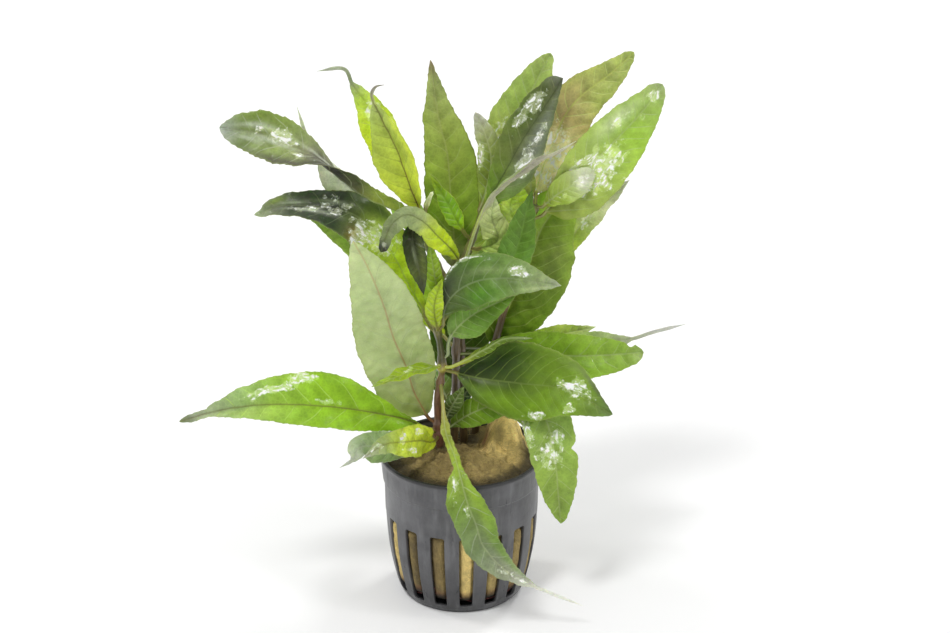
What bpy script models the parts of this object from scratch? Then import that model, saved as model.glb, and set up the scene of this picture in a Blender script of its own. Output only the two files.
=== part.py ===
"""Potted hygrophila: a leafy water plant whose shoots rise from rock wool in a slotted net pot.

Sizes in the tables are millimetres and are turned into metres as each mesh is made.
Z is up, the middle of the pot's foot is the origin and the plant's front looks along -Y.
"""
from math import cos, exp, pi, radians, sin

import bpy
import numpy as np

MM = 0.001

# Driving dimensions of the pot
POT_HEIGHT = 51.0
RIM_RADIUS = 27.4
BAND_DEPTH = 9.0          # plain band under the rim
WALL = 1.2
FLOOR = 1.5
SLOTS = 16
SLOT_LOW, SLOT_HIGH = 3.2, 30.6
SLOT_TURN = 4.0           # degrees from the front to the middle of the nearest slot
STEPS_PER_SLOT = 4        # facets round the wall for one slot and one rib
GAP = 0.3                 # clearance between pieces that touch

# Driving dimensions of the plant
STEM_RADIUS = 1.25
STALK_HALF_WIDTH = 0.6
BLADE_THICK = 0.6
EDGE_THICK = 0.28
BLADE_SECTIONS = (8, 14)   # along the shortest and the longest leaf
STEM_SECTIONS = 12
STEM_SIDES = 8
VIEW_LIFT = radians(24)   # how far above level the front direction points
FRONT = np.array([0.0, -cos(VIEW_LIFT), sin(VIEW_LIFT)])
SKY = np.array([0.0, 0.0, 1.0])


def clear_scene():
    for ob in list(bpy.data.objects):
        bpy.data.objects.remove(ob, do_unlink=True)


def make_material(name, colour, roughness):
    mat = bpy.data.materials.new(name)
    mat.use_nodes = True
    bsdf = mat.node_tree.nodes["Principled BSDF"]
    bsdf.inputs["Base Color"].default_value = (*colour, 1.0)
    bsdf.inputs["Roughness"].default_value = roughness
    bsdf.inputs["Metallic"].default_value = 0.0
    mat.diffuse_color = (*colour, 1.0)
    return mat


def make_object(name, verts, faces, colour, roughness, smooth=True):
    """One closed mesh object, with vertices given in millimetres."""
    mesh = bpy.data.meshes.new(name)
    mesh.from_pydata([tuple(float(c) * MM for c in v) for v in verts], [], faces)
    mesh.validate()
    for poly in mesh.polygons:
        poly.use_smooth = smooth
    mesh.materials.append(make_material(name, colour, roughness))
    ob = bpy.data.objects.new(name, mesh)
    bpy.context.scene.collection.objects.link(ob)
    return ob


# Pot

def outer_radius(z):
    """Outside radius of the pot at height z: round foot, gentle taper, plain band and rim."""
    heights = [0.0, 1.0, 3.2, 7.0, 12.0, 18.0, 30.6, POT_HEIGHT - BAND_DEPTH - 0.6,
               POT_HEIGHT - BAND_DEPTH, POT_HEIGHT - 4.5, POT_HEIGHT - 1.2, POT_HEIGHT]
    radii = [19.4, 20.4, 21.5, 22.6, 23.7, 24.7, 25.7, 26.0, 26.4, 26.9, 27.1, RIM_RADIUS]
    return float(np.interp(z, heights, radii))


def make_pot():
    """Thin wall with upright slots, made as a ring of cells with the slot cells left open."""
    around = SLOTS * STEPS_PER_SLOT
    levels = [0.0, 1.0, SLOT_LOW, 7.0, 12.0, 18.0, SLOT_HIGH, POT_HEIGHT - BAND_DEPTH - 0.6,
              POT_HEIGHT - BAND_DEPTH, POT_HEIGHT - 4.5, POT_HEIGHT - 1.2, POT_HEIGHT]
    step = 2 * pi / around
    start = -pi / 2 + radians(SLOT_TURN) - step
    verts, faces = [], []

    def ring(radius, z):
        first = len(verts)
        for j in range(around):
            a = start + j * step
            verts.append((radius * cos(a), radius * sin(a), z))
        return first

    outer = [ring(outer_radius(z), z) for z in levels]
    inner = [ring(outer_radius(max(z, FLOOR)) - WALL, max(z, FLOOR)) for z in levels[1:]]
    inner = [None] + inner

    def is_open(level, j):
        return SLOT_LOW <= levels[level] < SLOT_HIGH and j % STEPS_PER_SLOT < 2

    for i in range(len(levels) - 1):
        for j in range(around):
            k = (j + 1) % around
            if is_open(i, j):
                continue
            faces.append((outer[i] + j, outer[i] + k, outer[i + 1] + k, outer[i + 1] + j))
            if i >= 1:
                faces.append((inner[i] + k, inner[i] + j, inner[i + 1] + j, inner[i + 1] + k))
            for side, other in ((j, (j - 1) % around), (k, k)):
                if is_open(i, other):
                    quad = [outer[i] + side, outer[i + 1] + side, inner[i + 1] + side, inner[i] + side]
                    faces.append(tuple(quad if side == j else quad[::-1]))
    # sills and heads of the slots, and the rim
    for level, flip in ((levels.index(SLOT_LOW), False), (levels.index(SLOT_HIGH), True)):
        for j in range(around):
            if j % STEPS_PER_SLOT < 2:
                k = (j + 1) % around
                quad = [outer[level] + j, outer[level] + k, inner[level] + k, inner[level] + j]
                faces.append(tuple(quad[::-1] if flip else quad))
    top = len(levels) - 1
    for j in range(around):
        k = (j + 1) % around
        faces.append((outer[top] + j, outer[top] + k, inner[top] + k, inner[top] + j))
    faces.append(tuple(outer[0] + j for j in reversed(range(around))))
    faces.append(tuple(inner[1] + j for j in range(around)))
    return make_object("net_pot", verts, faces, (0.055, 0.058, 0.068), 0.42, smooth=False)


# Rock wool

WOOL_EDGE = 48.5          # height where the wool meets the wall
WOOL_BLOCK = (15.0, 5.0, 12.5)   # x, y and rise of the folded block that stands up at the right


def wool_height(x, y):
    """Lumpy top of the rock wool."""
    r = min(1.0, (x * x + y * y) ** 0.5 / 24.5)
    bx, by, rise = WOOL_BLOCK
    block = rise * exp(-(((x - bx) / 6.5) ** 4 + ((y - by) / 8.0) ** 4))
    hollow = 2.0 * exp(-((x - 3.0) ** 2 + (y - 7.0) ** 2) / 40.0)
    lumps = 0.7 * sin(0.42 * x + 1.0) * cos(0.38 * y - 0.6) + 0.4 * sin(0.9 * x + 0.7 * y)
    mound = 3.6 * (1 - r ** 2)
    edge = 1 - r ** 6
    return WOOL_EDGE + mound + (block - hollow + lumps) * edge


def make_wool():
    around, rings = 30, (0.12, 0.25, 0.38, 0.5, 0.62, 0.74, 0.86, 0.95, 1.0)
    low = FLOOR + GAP
    verts, faces = [], []
    top_radius = outer_radius(WOOL_EDGE) - WALL - GAP

    def ring(radius_at, z_at):
        first = len(verts)
        for j in range(around):
            a = 2 * pi * j / around
            r = radius_at
            x, y = r * cos(a), r * sin(a)
            verts.append((x, y, z_at(x, y)))
        return first

    verts.append((0.0, 0.0, wool_height(0.0, 0.0)))
    loops = [ring(top_radius * f, wool_height) for f in rings]
    for z in (46.0, 41.0, SLOT_HIGH, 18.0, 12.0, 7.0, SLOT_LOW, low):
        radius = outer_radius(z) - WALL - GAP - 0.15
        loops.append(ring(radius, lambda x, y, z=z: z))
    for j in range(around):
        k = (j + 1) % around
        faces.append((0, loops[0] + j, loops[0] + k))
        for a, b in zip(loops, loops[1:]):
            faces.append((a + j, b + j, b + k, a + k))
    faces.append(tuple(loops[-1] + j for j in reversed(range(around))))
    return make_object("rock_wool", verts, faces, (0.46, 0.31, 0.13), 0.95)


# Smooth curves

def smooth_curve(points, count):
    """Points spread evenly along a Catmull-Rom curve through the given ones."""
    pts = np.asarray(points, float)
    gaps = np.sqrt(np.linalg.norm(np.diff(pts, axis=0), axis=1))
    knots = np.concatenate([[0.0], np.cumsum(gaps)])
    ends = np.vstack([2 * pts[0] - pts[1], pts, 2 * pts[-1] - pts[-2]])
    knots = np.concatenate([[-gaps[0]], knots, [knots[-1] + gaps[-1]]])
    fine = []
    for i in range(1, len(ends) - 2):
        p, t = ends[i - 1:i + 3], knots[i - 1:i + 3]
        for s in np.linspace(t[1], t[2], 24, endpoint=False):
            a = [((t[n + 1] - s) * p[n] + (s - t[n]) * p[n + 1]) / (t[n + 1] - t[n]) for n in range(3)]
            b = [((t[n + 2] - s) * a[n] + (s - t[n]) * a[n + 1]) / (t[n + 2] - t[n]) for n in range(2)]
            fine.append(((t[2] - s) * b[0] + (s - t[1]) * b[1]) / (t[2] - t[1]))
    fine.append(ends[-2])
    fine = np.array(fine)
    run = np.concatenate([[0.0], np.cumsum(np.linalg.norm(np.diff(fine, axis=0), axis=1))])
    at = np.linspace(0.0, run[-1], count)
    return np.stack([np.interp(at, run, fine[:, c]) for c in range(3)], axis=1)


def unit(v):
    return v / np.linalg.norm(v, axis=-1, keepdims=True)


# Stems: each rises from the wool through the points listed, base first

STEMS = {
    "stem_front": [(-7.2, 2.0), (-7.8, 1.0, 62), (-7.8, -1.0, 72), (-6.4, -2.0, 81), (-6.7, -3.0, 89),
                   (-7.9, -4.0, 98)],
    "stem_left": [(-2.6, 4.6), (-2.1, 3.4, 69), (-1.7, 1.0, 88), (-1.4, -0.5, 102), (-4.6, -2.0, 113),
                  (-9.2, -3.0, 123), (-13.5, -5.0, 137)],
    "stem_middle": [(0.8, 9.5), (0.2, 9.0, 66), (0.0, 8.0, 85), (0.4, 6.5, 104), (1.0, 6.0, 117),
                    (4.0, 7.0, 126), (7.0, 9.0, 133)],
    "stem_right": [(4.6, 14.5), (6.9, 13.0, 66), (10.9, 12.0, 84), (16.1, 10.0, 105), (21.2, 9.0, 125),
                   (24.4, 9.0, 136)],
}
STEM_COLOUR = (0.20, 0.075, 0.055)


def stem_points(name):
    foot, *rest = STEMS[name]
    start = (foot[0], foot[1], wool_height(*foot) + GAP + 0.3)
    return [start] + rest


def stem_centre(name, z):
    """The stem's middle and its direction at height z."""
    line = smooth_curve(stem_points(name), 200)
    here = np.array([np.interp(z, line[:, 2], line[:, c]) for c in range(3)])
    above = np.array([np.interp(z + 1, line[:, 2], line[:, c]) for c in range(3)])
    below = np.array([np.interp(z - 1, line[:, 2], line[:, c]) for c in range(3)])
    return here, unit(above - below)


def make_stem(name):
    line = smooth_curve(stem_points(name), STEM_SECTIONS)
    along = unit(np.gradient(line, axis=0))
    side = unit(np.cross(along, (0.0, 1.0, 0.0)))
    back = np.cross(along, side)
    verts, faces = [], []
    for i, centre in enumerate(line):
        radius = STEM_RADIUS * (1.0 - 0.25 * i / (STEM_SECTIONS - 1))
        for j in range(STEM_SIDES):
            a = 2 * pi * j / STEM_SIDES
            verts.append(centre + radius * (cos(a) * side[i] + sin(a) * back[i]))
    for i in range(STEM_SECTIONS - 1):
        for j in range(STEM_SIDES):
            k = (j + 1) % STEM_SIDES
            a, b = i * STEM_SIDES, (i + 1) * STEM_SIDES
            faces.append((a + j, a + k, b + k, b + j))
    faces.append(tuple(reversed(range(STEM_SIDES))))
    last = (STEM_SECTIONS - 1) * STEM_SIDES
    faces.append(tuple(last + j for j in range(STEM_SIDES)))
    return make_object(name, verts, faces, STEM_COLOUR, 0.5)


# Leaves

def half_width(t, half, widest, shape, stalk, tail, blunt, winged, tip):
    """Half width of one side of the blade at t along the leaf, 0 at the stem and 1 at the tip."""
    end = 1.0 - tail + blunt
    if t < widest:
        reach = min(1.0, (widest - t) / (widest - stalk))
        blade = half * max(0.0, cos(pi / 2 * reach)) ** shape[0]
    else:
        reach = min(1.0, (t - widest) / (end - widest))
        blade = half * max(0.0, cos(pi / 2 * reach)) ** shape[1]
    if t < widest:
        return max(blade, STALK_HALF_WIDTH + (winged - STALK_HALF_WIDTH) * max(0.0, min(1.0, t / 0.08 - 1.0)))
    return max(blade, tip * max(0.35, min(1.0, (1.0 - t) * 7.5 / tip)))


def both(value):
    """A value for the left and right side, given once where both are alike."""
    return value if isinstance(value, tuple) else (value, value)


def make_leaf(name, stem, height, path, half, widest, shape, turn, fold, colour, stalk=0.06, tail=0.0,
              blunt=0.0, winged=STALK_HALF_WIDTH, tip=STALK_HALF_WIDTH, towards=FRONT, roughness=0.35):
    """One closed leaf blade.

    stem and height say where its stalk joins, path gives the points that the midrib passes and
    the tip last. half, widest and shape are the half width, the place of the widest part and how
    the sides run in to the base and the tip, each for the left and right side where they differ.
    tail is the share of the length that is a thread past the blade, and blunt how far the sides
    would run on past the tip to meet. winged and tip are the half widths of the stalk and the tip.
    turn is how far the upper face is rolled from facing the way that towards gives, in degrees from
    base to tip, and fold is how far each side rises from the midrib.
    """
    centre, upward = stem_centre(stem, height)
    out = np.array(path[0], float) - centre
    out = unit(out - np.dot(out, upward) * upward)
    foot = centre + out * (STEM_RADIUS + GAP + STALK_HALF_WIDTH)
    points = np.vstack([foot, np.array(path, float)])
    length = float(np.linalg.norm(np.diff(points, axis=0), axis=1).sum())
    sections = int(np.clip(round(5 + length / 8), *BLADE_SECTIONS))
    line = smooth_curve(points, sections)
    along = unit(np.gradient(line, axis=0))
    facing = unit(towards - (along @ towards)[:, None] * along)
    side = np.cross(along, facing)
    places = np.linspace(0.0, 1.0, sections)
    rolled = np.radians(np.interp(places, np.linspace(0.0, 1.0, len(turn)), turn))[:, None]
    up = facing * np.cos(rolled) + side * np.sin(rolled)
    right = np.cross(along, up)
    sides = both(shape) if isinstance(shape[0], tuple) else (shape, shape)
    lift = radians(fold)
    verts = []
    for i, t in enumerate(places):
        wl, wr = (half_width(t, both(half)[s], both(widest)[s], sides[s], stalk, tail, blunt, winged, tip)
                  for s in (0, 1))
        edge_l = line[i] - right[i] * wl * cos(lift) + up[i] * wl * sin(lift)
        edge_r = line[i] + right[i] * wr * cos(lift) + up[i] * wr * sin(lift)
        rib = up[i] * max(0.45, BLADE_THICK * min(1.0, (wl + wr) / 4)) / 2
        edge = up[i] * EDGE_THICK / 2
        verts += [edge_l + edge, line[i] + rib, edge_r + edge, edge_r - edge, line[i] - rib, edge_l - edge]
    faces = []
    for i in range(sections - 1):
        for j in range(6):
            k = (j + 1) % 6
            faces.append((6 * i + j, 6 * i + k, 6 * i + 6 + k, 6 * i + 6 + j))
    faces.append(tuple(reversed(range(6))))
    faces.append(tuple(6 * (sections - 1) + j for j in range(6)))
    return make_object(name, verts, faces, colour, roughness)


# Leaf colours
BRIGHT = (0.20, 0.36, 0.02)
YELLOW = (0.36, 0.45, 0.03)
GREEN = (0.10, 0.22, 0.03)
OLIVE = (0.13, 0.17, 0.04)
DARK = (0.05, 0.11, 0.04)
PALE = (0.34, 0.42, 0.20)
GREY = (0.20, 0.25, 0.13)
PURPLE = (0.22, 0.18, 0.12)

LENS = (1.0, 1.0)


def make_leaves():
    f, l, m, r = "stem_front", "stem_left", "stem_middle", "stem_right"

    # top of the left shoot
    make_leaf("leaf_twisted_left", l, 135, [(-21, -6, 140.7), (-29, -3, 143.4), (-37, 0, 148.4),
              (-45, 3, 153.8), (-52, 5, 156.9), (-65, 8, 161.2), (-78, 10, 162.4)], 7.8, (0.77, 0.76),
              ((0.5, 0.6), (5.0, 0.66)), (130, 125, 70, 8, 0), 6, GREY, 0.02, winged=1.2)
    make_leaf("leaf_pale_left", l, 125, [(-23, 9, 130), (-33, 12, 137), (-41, 14, 145), (-47, 15, 152),
              (-50, 13, 158), (-53, 14, 168)], (6.6, 2.2), 0.55, (1, 0.8), (10, 10), 12, PALE, 0.1, 0.27)
    make_leaf("leaf_hanging_dark", l, 134, [(-15.5, -9, 134), (-15.2, -11, 130), (-13.7, -12.5, 123),
              (-12, -14, 114)], 3.6, 0.4, (0.35, 0.9), (0, 0), 15, DARK)
    make_leaf("leaf_yellow_front", l, 136.6, [(-16.5, -8, 150), (-20.5, -6, 161), (-24.5, -4, 169),
              (-27.6, -2, 175.4), (-28.2, -1.5, 178.2), (-26.9, -1, 180.2), (-24.4, 0, 180.5)], (8.4, 6.8),
              0.45, (0.85, 1.1), (-25, -30, -20), 26, YELLOW, 0.08, 0.14)
    make_leaf("leaf_yellow_back", l, 136.6, [(-20.8, -1, 149), (-24.4, 1, 161), (-29.4, 3, 172),
              (-34.5, 4, 179.2), (-37, 5, 184), (-46, 6, 183)], (6.1, 5.9), 0.48, (0.9, 1.1), (0, 0), 18,
              YELLOW, 0.08, 0.2)
    make_leaf("leaf_bud", l, 136.6, [(-11, -3, 141), (-9, -2, 145)], 0.9, 0.5, LENS, (0, 0), 10, YELLOW)

    # node of the front shoot
    make_leaf("leaf_arching_left", f, 97, [(-12, -3, 103), (-16, -2, 110), (-21, 0, 120), (-26, 1, 128),
              (-34, 2, 135), (-43, 4, 137), (-52, 6, 137), (-61, 7, 136.1), (-67.5, 8, 132.8)],
              (9.0, 7.6), 0.52, ((2.0, 1.3), (1.0, 1.15)), (0, 0, 10, 35, 40), 10, BRIGHT, 0.05, blunt=0.08)
    make_leaf("leaf_under_arch", f, 95, [(-18, 3, 110), (-29, 6, 119), (-41, 8, 128), (-52, 10, 133)], 5.6,
              0.6, LENS, (10, 20), 12, GREEN)
    make_leaf("leaf_drooping_dark", f, 97, [(-5, -8, 107), (-1, -11, 114), (6, -14, 119), (16, -17, 121),
              (27, -21, 121), (32, -23, 121)], (8.6, 8.0), (0.48, 0.42), ((2.4, 0.9), (1.1, 1)), (0, 0), 6,
              DARK, 0.06)
    make_leaf("leaf_young_lower", f, 97, [(-8.7, -9.5, 108), (-6, -11, 118.5)], 3.0, 0.5, LENS, (0, 0), 12,
              BRIGHT)
    make_leaf("leaf_young_upper", l, 108, [(-7.5, -6, 113), (-9, -7.5, 121), (-10, -8, 130)], 2.8,
              0.5, LENS, (0, 0), 12, BRIGHT)
    make_leaf("leaf_under_droop", f, 86, [(-4, -4, 93), (-1, -6, 99), (5, -8, 105), (11, -10, 109),
              (18, -11, 113)], (6.0, 6.8), (0.55, 0.5), LENS, (0, 0), 10, GREEN, 0.22)

    # middle shoot
    make_leaf("leaf_hooked", m, 117, [(-3.5, -4, 126), (-7.5, -8, 132), (-12.5, -11, 138.5),
              (-17.5, -13.5, 141.5), (-22, -16, 139), (-25.5, -18, 130.5)], (4.2, 3.0), 0.5, (0.7, 0.6),
              (0, 0), 6, YELLOW, blunt=0.03)
    make_leaf("leaf_tall_left", m, 112, [(-2.2, 9, 123), (-3.4, 12, 137), (-4.4, 15, 151), (-7.2, 17, 163),
              (-9, 19, 175), (-9.9, 20, 182)], (8.3, 9.5), 0.42, ((0.5, 1.45), (0.5, 1.4)), (0, 0), 10,
              OLIVE, 0.02, blunt=0.05)
    make_leaf("leaf_small_bright", m, 125, [(-1, 3, 132), (-5, 3, 140), (-10, 4, 148)], 2.9, 0.45, LENS,
              (0, 0), 12, BRIGHT, 0.12)
    make_leaf("leaf_small_pale", m, 132, [(8, 9, 141), (9.7, 9, 152), (7.7, 11, 160), (4.6, 14.5, 166)], 4.2,
              0.5, LENS, (0, 0), 12, GREY, blunt=0.1)
    make_leaf("leaf_dark_glossy", m, 132, [(10, 5, 141), (15, 6, 150), (20, 8, 159), (26, 10, 168),
              (32.8, 12, 178.6)], (7.6, 8.8), (0.62, 0.4), ((1, 0.5), (0.9, 1.3)), (0, 0), 12, DARK, 0.08,
              blunt=0.03)
    make_leaf("leaf_strap_purple", m, 118, [(4, 0, 129), (6, -1, 135), (11, -2, 144), (19, -1, 151),
              (25, 0, 155), (31, 2, 157), (37, 4, 160)], 1.5, 0.6, LENS, (40, 60, 40), 12, PURPLE, 0.15)
    make_leaf("leaf_top_middle", m, 132, [(11.5, 10, 139), (14, 15, 149), (18, 17, 161), (23, 19, 172),
              (29, 21, 184)], (9.6, 7.6), 0.45, ((0.9, 0.9), (0.9, 0.8)), (0, 0), 10, GREEN, blunt=0.05)

    # right shoot
    make_leaf("leaf_top_right", r, 135.5, [(26, 14, 145), (30, 16, 155), (34, 18, 164), (39, 19, 170),
              (48, 20, 177), (56, 22, 184)], (7.2, 9.4), (0.5, 0.4), ((1.2, 0.9), (0.5, 0.95)), (0, 0), 12,
              PURPLE, 0.06, blunt=0.06)
    make_leaf("leaf_right_glossy", r, 131, [(34, 7, 142), (45, 9, 153), (53, 11, 161), (59.5, 13, 168),
              (65, 15, 175.5)], (9.4, 12.2), (0.52, 0.34), ((1, 0.85), (0.42, 1.0)), (12, 12, 6), 12, BRIGHT,
              0.08, blunt=0.06)
    make_leaf("leaf_right_behind", r, 73, [(23, 19, 94), (33, 22, 112.4), (41.8, 22, 126.4),
              (55.4, 20, 140.4)], (6.0, 4.2), 0.74, ((1, 1), (1.8, 1)), (10, 10), 12, GREEN, 0.4)
    make_leaf("leaf_right_pale", r, 135.5, [(31, 5, 141), (37, 5, 145), (43, 6, 149)], 4.8, 0.6, (1, 0.8),
              (0, 0), 12, PALE, blunt=0.08)
    make_leaf("leaf_broad_olive", r, 80, [(14, 13.6, 93), (21, 15, 108), (27, 17, 125), (33, 19, 132),
              (41, 20, 137)], (10, 14.3), (0.5, 0.5), ((0.45, 0.4), (0.38, 0.75)), (10, 10, 0), 12, OLIVE)
    make_leaf("leaf_pointed_green", r, 104, [(16, 1, 117), (19, 0, 127), (21, 1, 136), (23, 2, 144)], 5.8,
              0.48, LENS, (0, 0), 14, GREEN, 0.1)
    make_leaf("leaf_small_yellow", r, 124, [(16, 5, 138), (20, 6, 146)], 3.0, 0.5, LENS, (0, 0), 12, YELLOW)
    make_leaf("leaf_pale_textured", m, 122, [(12, 3, 126), (10, 3, 134), (11, 4, 141)], 5.0, 0.5, LENS,
              (0, 0), 10, PALE)

    # lower pair of the front shoot and the leaves to its right
    make_leaf("leaf_big_right", f, 82, [(6, -7, 81), (19, -13, 82), (34, -20, 83), (49, -27, 77.5)],
              (13.8, 12.2), (0.44, 0.48), ((0.8, 1.25), (0.8, 1.0)), (0, 0), 8, DARK, 0.05, blunt=0.02)
    make_leaf("leaf_strip_right", f, 83, [(1, -8, 87.5), (8, -11, 93), (14, -14, 98), (23, -17, 100)], 1.35,
              0.5, (0.8, 0.8), (160, 160), 0, YELLOW, 0.1)
    make_leaf("leaf_edge_on", f, 84, [(-10, -9, 86), (-18, -14, 86), (-25, -18, 85), (-29, -20, 84)], 4.0,
              0.42, LENS, (65, 60), 8, YELLOW)
    make_leaf("leaf_low_right", f, 58, [(3, -5, 67), (11, -9, 72), (23, -13, 75)], 5.0, 0.5, LENS, (0, 0),
              8, GREEN)
    make_leaf("leaf_side_right", l, 86, [(19, 1, 87), (33, 0, 86), (46, -2, 87), (60, -4, 89)], (7.6, 8.2),
              (0.5, 0.55), (1, 0.75), (0, 0), 8, BRIGHT, blunt=0.06)
    make_leaf("leaf_side_tailed", m, 85, [(26, 7, 85), (43, 8, 86), (57, 9, 88), (64, 10, 90),
              (75, 10, 93)], (4.6, 4.0), 0.55, LENS, (0, 0), 8, GREY, 0.1, 0.24)
    make_leaf("leaf_side_upper", r, 84, [(23, 10.4, 86.4), (35, 12, 88.6), (45, 13, 90.6)], (3.6, 3.2), 0.55,
              LENS, (10, 10), 10, YELLOW)
    make_leaf("leaf_hanging_right", l, 68, [(19, -10, 74), (26, -15, 73), (29, -18, 67), (31, -20, 56),
              (32, -20, 45), (33, -19, 33.4)], (7.9, 8.4), 0.55, ((0.36, 0.6), (0.9, 0.78)), (0, 0), 8, GREEN,
              0.08)

    # foot of the front shoot
    make_leaf("leaf_long_left", f, 57, [(-16, -5, 64), (-32, -9, 70), (-49, -13, 74), (-66, -16, 75.6),
              (-80, -18, 74.3), (-92, -19, 71)], (7.4, 11.0), (0.42, 0.48), ((0.8, 0.75), (2.2, 0.9)),
              (0, 10, 10), 10, BRIGHT, 0.05, 0.08, tip=1.3)
    make_leaf("leaf_rim_bright", f, 56, [(-10, -8, 58), (-13, -13, 61), (-19, -20, 64), (-25, -26, 66),
              (-32, -28, 62)], 5.4, 0.42, LENS, (0, 0), 8, YELLOW, 0.08)
    make_leaf("leaf_rim_grey", f, 54.4, [(-17, -6.5, 56.3), (-26, -13, 58.8), (-33.4, -17, 60.5),
              (-35.5, -18.5, 57), (-40, -20, 54.5)], (5.2, 5.2), 0.6, (0.8, 0.8), (0, 0), 10, GREY, 0.08,
              0.1)
    make_leaf("leaf_over_rim", f, 77, [(-6, -10, 72), (-5, -17, 66), (-2, -25, 61), (0, -31, 56),
              (2, -34, 49), (5, -35, 41), (7, -35, 34), (14, -35, 25), (23, -34, 18.6), (40.5, -31, 8.8)],
              (6.4, 6.8), (0.5, 0.44), ((1, 1.1), (0.6, 1.1)), (0, 0), 12, GREY, 0.3, 0.16, winged=1.4)
    make_leaf("leaf_pale_underside", f, 60, [(-12.5, 0, 66), (-15.6, -2.7, 74), (-18, -7, 85), (-22, -10, 97),
              (-25, -15, 111), (-30, -20, 127), (-34, -22, 136)], (11.0, 13.1), (0.5, 0.36),
              ((0.52, 0.9), (0.38, 0.64)), (180, 180), 6, PALE, 0.06)
    make_leaf("leaf_base_grey", f, 61, [(-3, -5, 70), (1, -7, 78)], 2.8, 0.6, LENS, (0, 0), 15, GREY)
    make_leaf("leaf_base_dark", l, 59, [(0, 0, 69), (4, -1, 78)], 2.4, 0.6, LENS, (0, 0), 15, DARK)

    # inside the plant, and at its back, where the leaves face the sky
    make_leaf("leaf_inner_dark", m, 68, [(-1, 17, 80), (0.5, 20, 93), (2, 22, 108)], 10.5, 0.5,
              (0.6, 0.8), (0, 0), 10, DARK)
    for name, stem, height, path, half, widest, colour in (
            ("leaf_back_1", r, 127, [(15, 20, 131), (23, 40, 134), (27, 55, 127)], 8.5, 0.45, OLIVE),
            ("leaf_back_2", m, 103, [(5, 26, 111), (7, 43, 113), (8, 58, 105)], 8.5, 0.45, GREEN),
            ("leaf_back_3", l, 88, [(-18, 22, 99), (-25, 38, 102), (-31, 54, 96)], 8.5, 0.45, BRIGHT),
            ("leaf_back_4", r, 76, [(18, 30, 90), (24, 46, 92), (28, 60, 84)], 8.0, 0.45, GREEN),
            ("leaf_back_5", l, 62, [(-9, 22, 69), (-13, 37, 62), (-15, 46, 47)], 7.0, 0.5, BRIGHT),
            ("leaf_back_6", r, 62, [(13, 28, 68), (19, 40, 62), (22, 48, 48)], 7.0, 0.5, OLIVE),
            ("leaf_back_7", m, 110, [(4, 20, 122), (5, 36, 134), (5, 51, 134)], 6.5, 0.45, DARK),
            ("leaf_back_8", r, 134, [(23, 24, 146), (28, 38, 149), (32, 51, 143)], 7.0, 0.45, OLIVE),
            ("leaf_back_9", l, 120, [(-15, 15, 127), (-19, 29, 127), (-20, 42, 118)], 6.0, 0.45, GREEN)):
        make_leaf(name, stem, height, path, half, widest, LENS, (0, 0), 10, colour, towards=SKY)


clear_scene()
make_pot()
make_wool()
for stem_name in STEMS:
    make_stem(stem_name)
make_leaves()
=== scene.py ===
"""Looks of the potted hygrophila: a wet, leafy water plant in rock wool and a slotted net pot.

Sizes in the tables are millimetres, in the part's own frame: Z is up, the middle of the pot's foot is
the origin and the plant's front looks along -Y. Meshes are turned into metres as they are made.
"""
from math import cos, pi, radians, sin

import bpy
import numpy as np
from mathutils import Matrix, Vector


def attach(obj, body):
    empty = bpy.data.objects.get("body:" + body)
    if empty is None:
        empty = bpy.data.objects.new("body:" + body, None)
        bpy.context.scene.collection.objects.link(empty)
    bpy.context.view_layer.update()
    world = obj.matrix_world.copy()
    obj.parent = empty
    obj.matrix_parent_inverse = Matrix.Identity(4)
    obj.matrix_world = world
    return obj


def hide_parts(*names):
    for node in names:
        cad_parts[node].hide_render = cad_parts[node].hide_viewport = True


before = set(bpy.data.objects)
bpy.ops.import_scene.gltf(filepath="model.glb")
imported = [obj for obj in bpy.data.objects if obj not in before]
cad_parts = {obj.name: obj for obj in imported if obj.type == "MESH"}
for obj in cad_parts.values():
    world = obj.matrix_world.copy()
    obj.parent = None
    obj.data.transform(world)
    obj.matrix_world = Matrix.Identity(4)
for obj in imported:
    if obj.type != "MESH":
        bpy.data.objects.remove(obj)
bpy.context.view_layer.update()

MM = 0.001

# The camera: where it looks, from how far, and how steeply down
TARGET = Vector((4.53, 0.0, 100.1)) * MM
CAMERA_DISTANCE = 952.7 * MM
CAMERA_LIFT = radians(23.94)
CAMERA_LENS = 109.9

# The pot's sizes, as in the part's source
POT_HEIGHT = 51.0
RIM_RADIUS = 27.4
BAND_DEPTH = 9.0          # plain band under the rim
WALL = 1.2
FLOOR = 1.5
SLOTS = 16
SLOT_LOW, SLOT_HIGH = 3.2, 30.6
SLOT_TURN = 4.0           # degrees from the front to the middle of the nearest slot
GAP = 0.3                 # clearance between pieces that touch

# The pot's finer sizes
BAND_STEP = 0.4           # how far the band stands out of the wall
LIP_STEP = 0.3            # how far the lip stands out of the band
SLOT_SHARE = 0.5          # of the wall round, open
SLOT_CORNER = 0.7         # radius of the slots' corners
SLOT_RADIUS = 24.7        # of the wall half way up the slots
HOLLOW_RADIUS = 15.5      # of the shallow hollow under the foot
HOLLOW_DEPTH = 0.5

# The plant's sizes, as in the part's source
STEM_RADIUS = 1.25
STALK_HALF_WIDTH = 0.6
VIEW_LIFT = radians(24)   # how far above level the front direction points
FRONT = np.array([0.0, -cos(VIEW_LIFT), sin(VIEW_LIFT)])
SKY = np.array([0.0, 0.0, 1.0])

# Fineness of the leaf meshes
LEAF_STEP = 0.5           # millimetres between rows along a leaf
LEAF_ROWS = (60, 170)
LEAF_COLUMNS = (18, 44)
STEM_SIDES = 24


# Small helpers

def unit(v):
    return v / np.linalg.norm(v, axis=-1, keepdims=True)


def smoothstep(low, high, x):
    t = np.clip((np.asarray(x, float) - low) / (high - low), 0.0, 1.0)
    return t * t * (3 - 2 * t)


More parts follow.
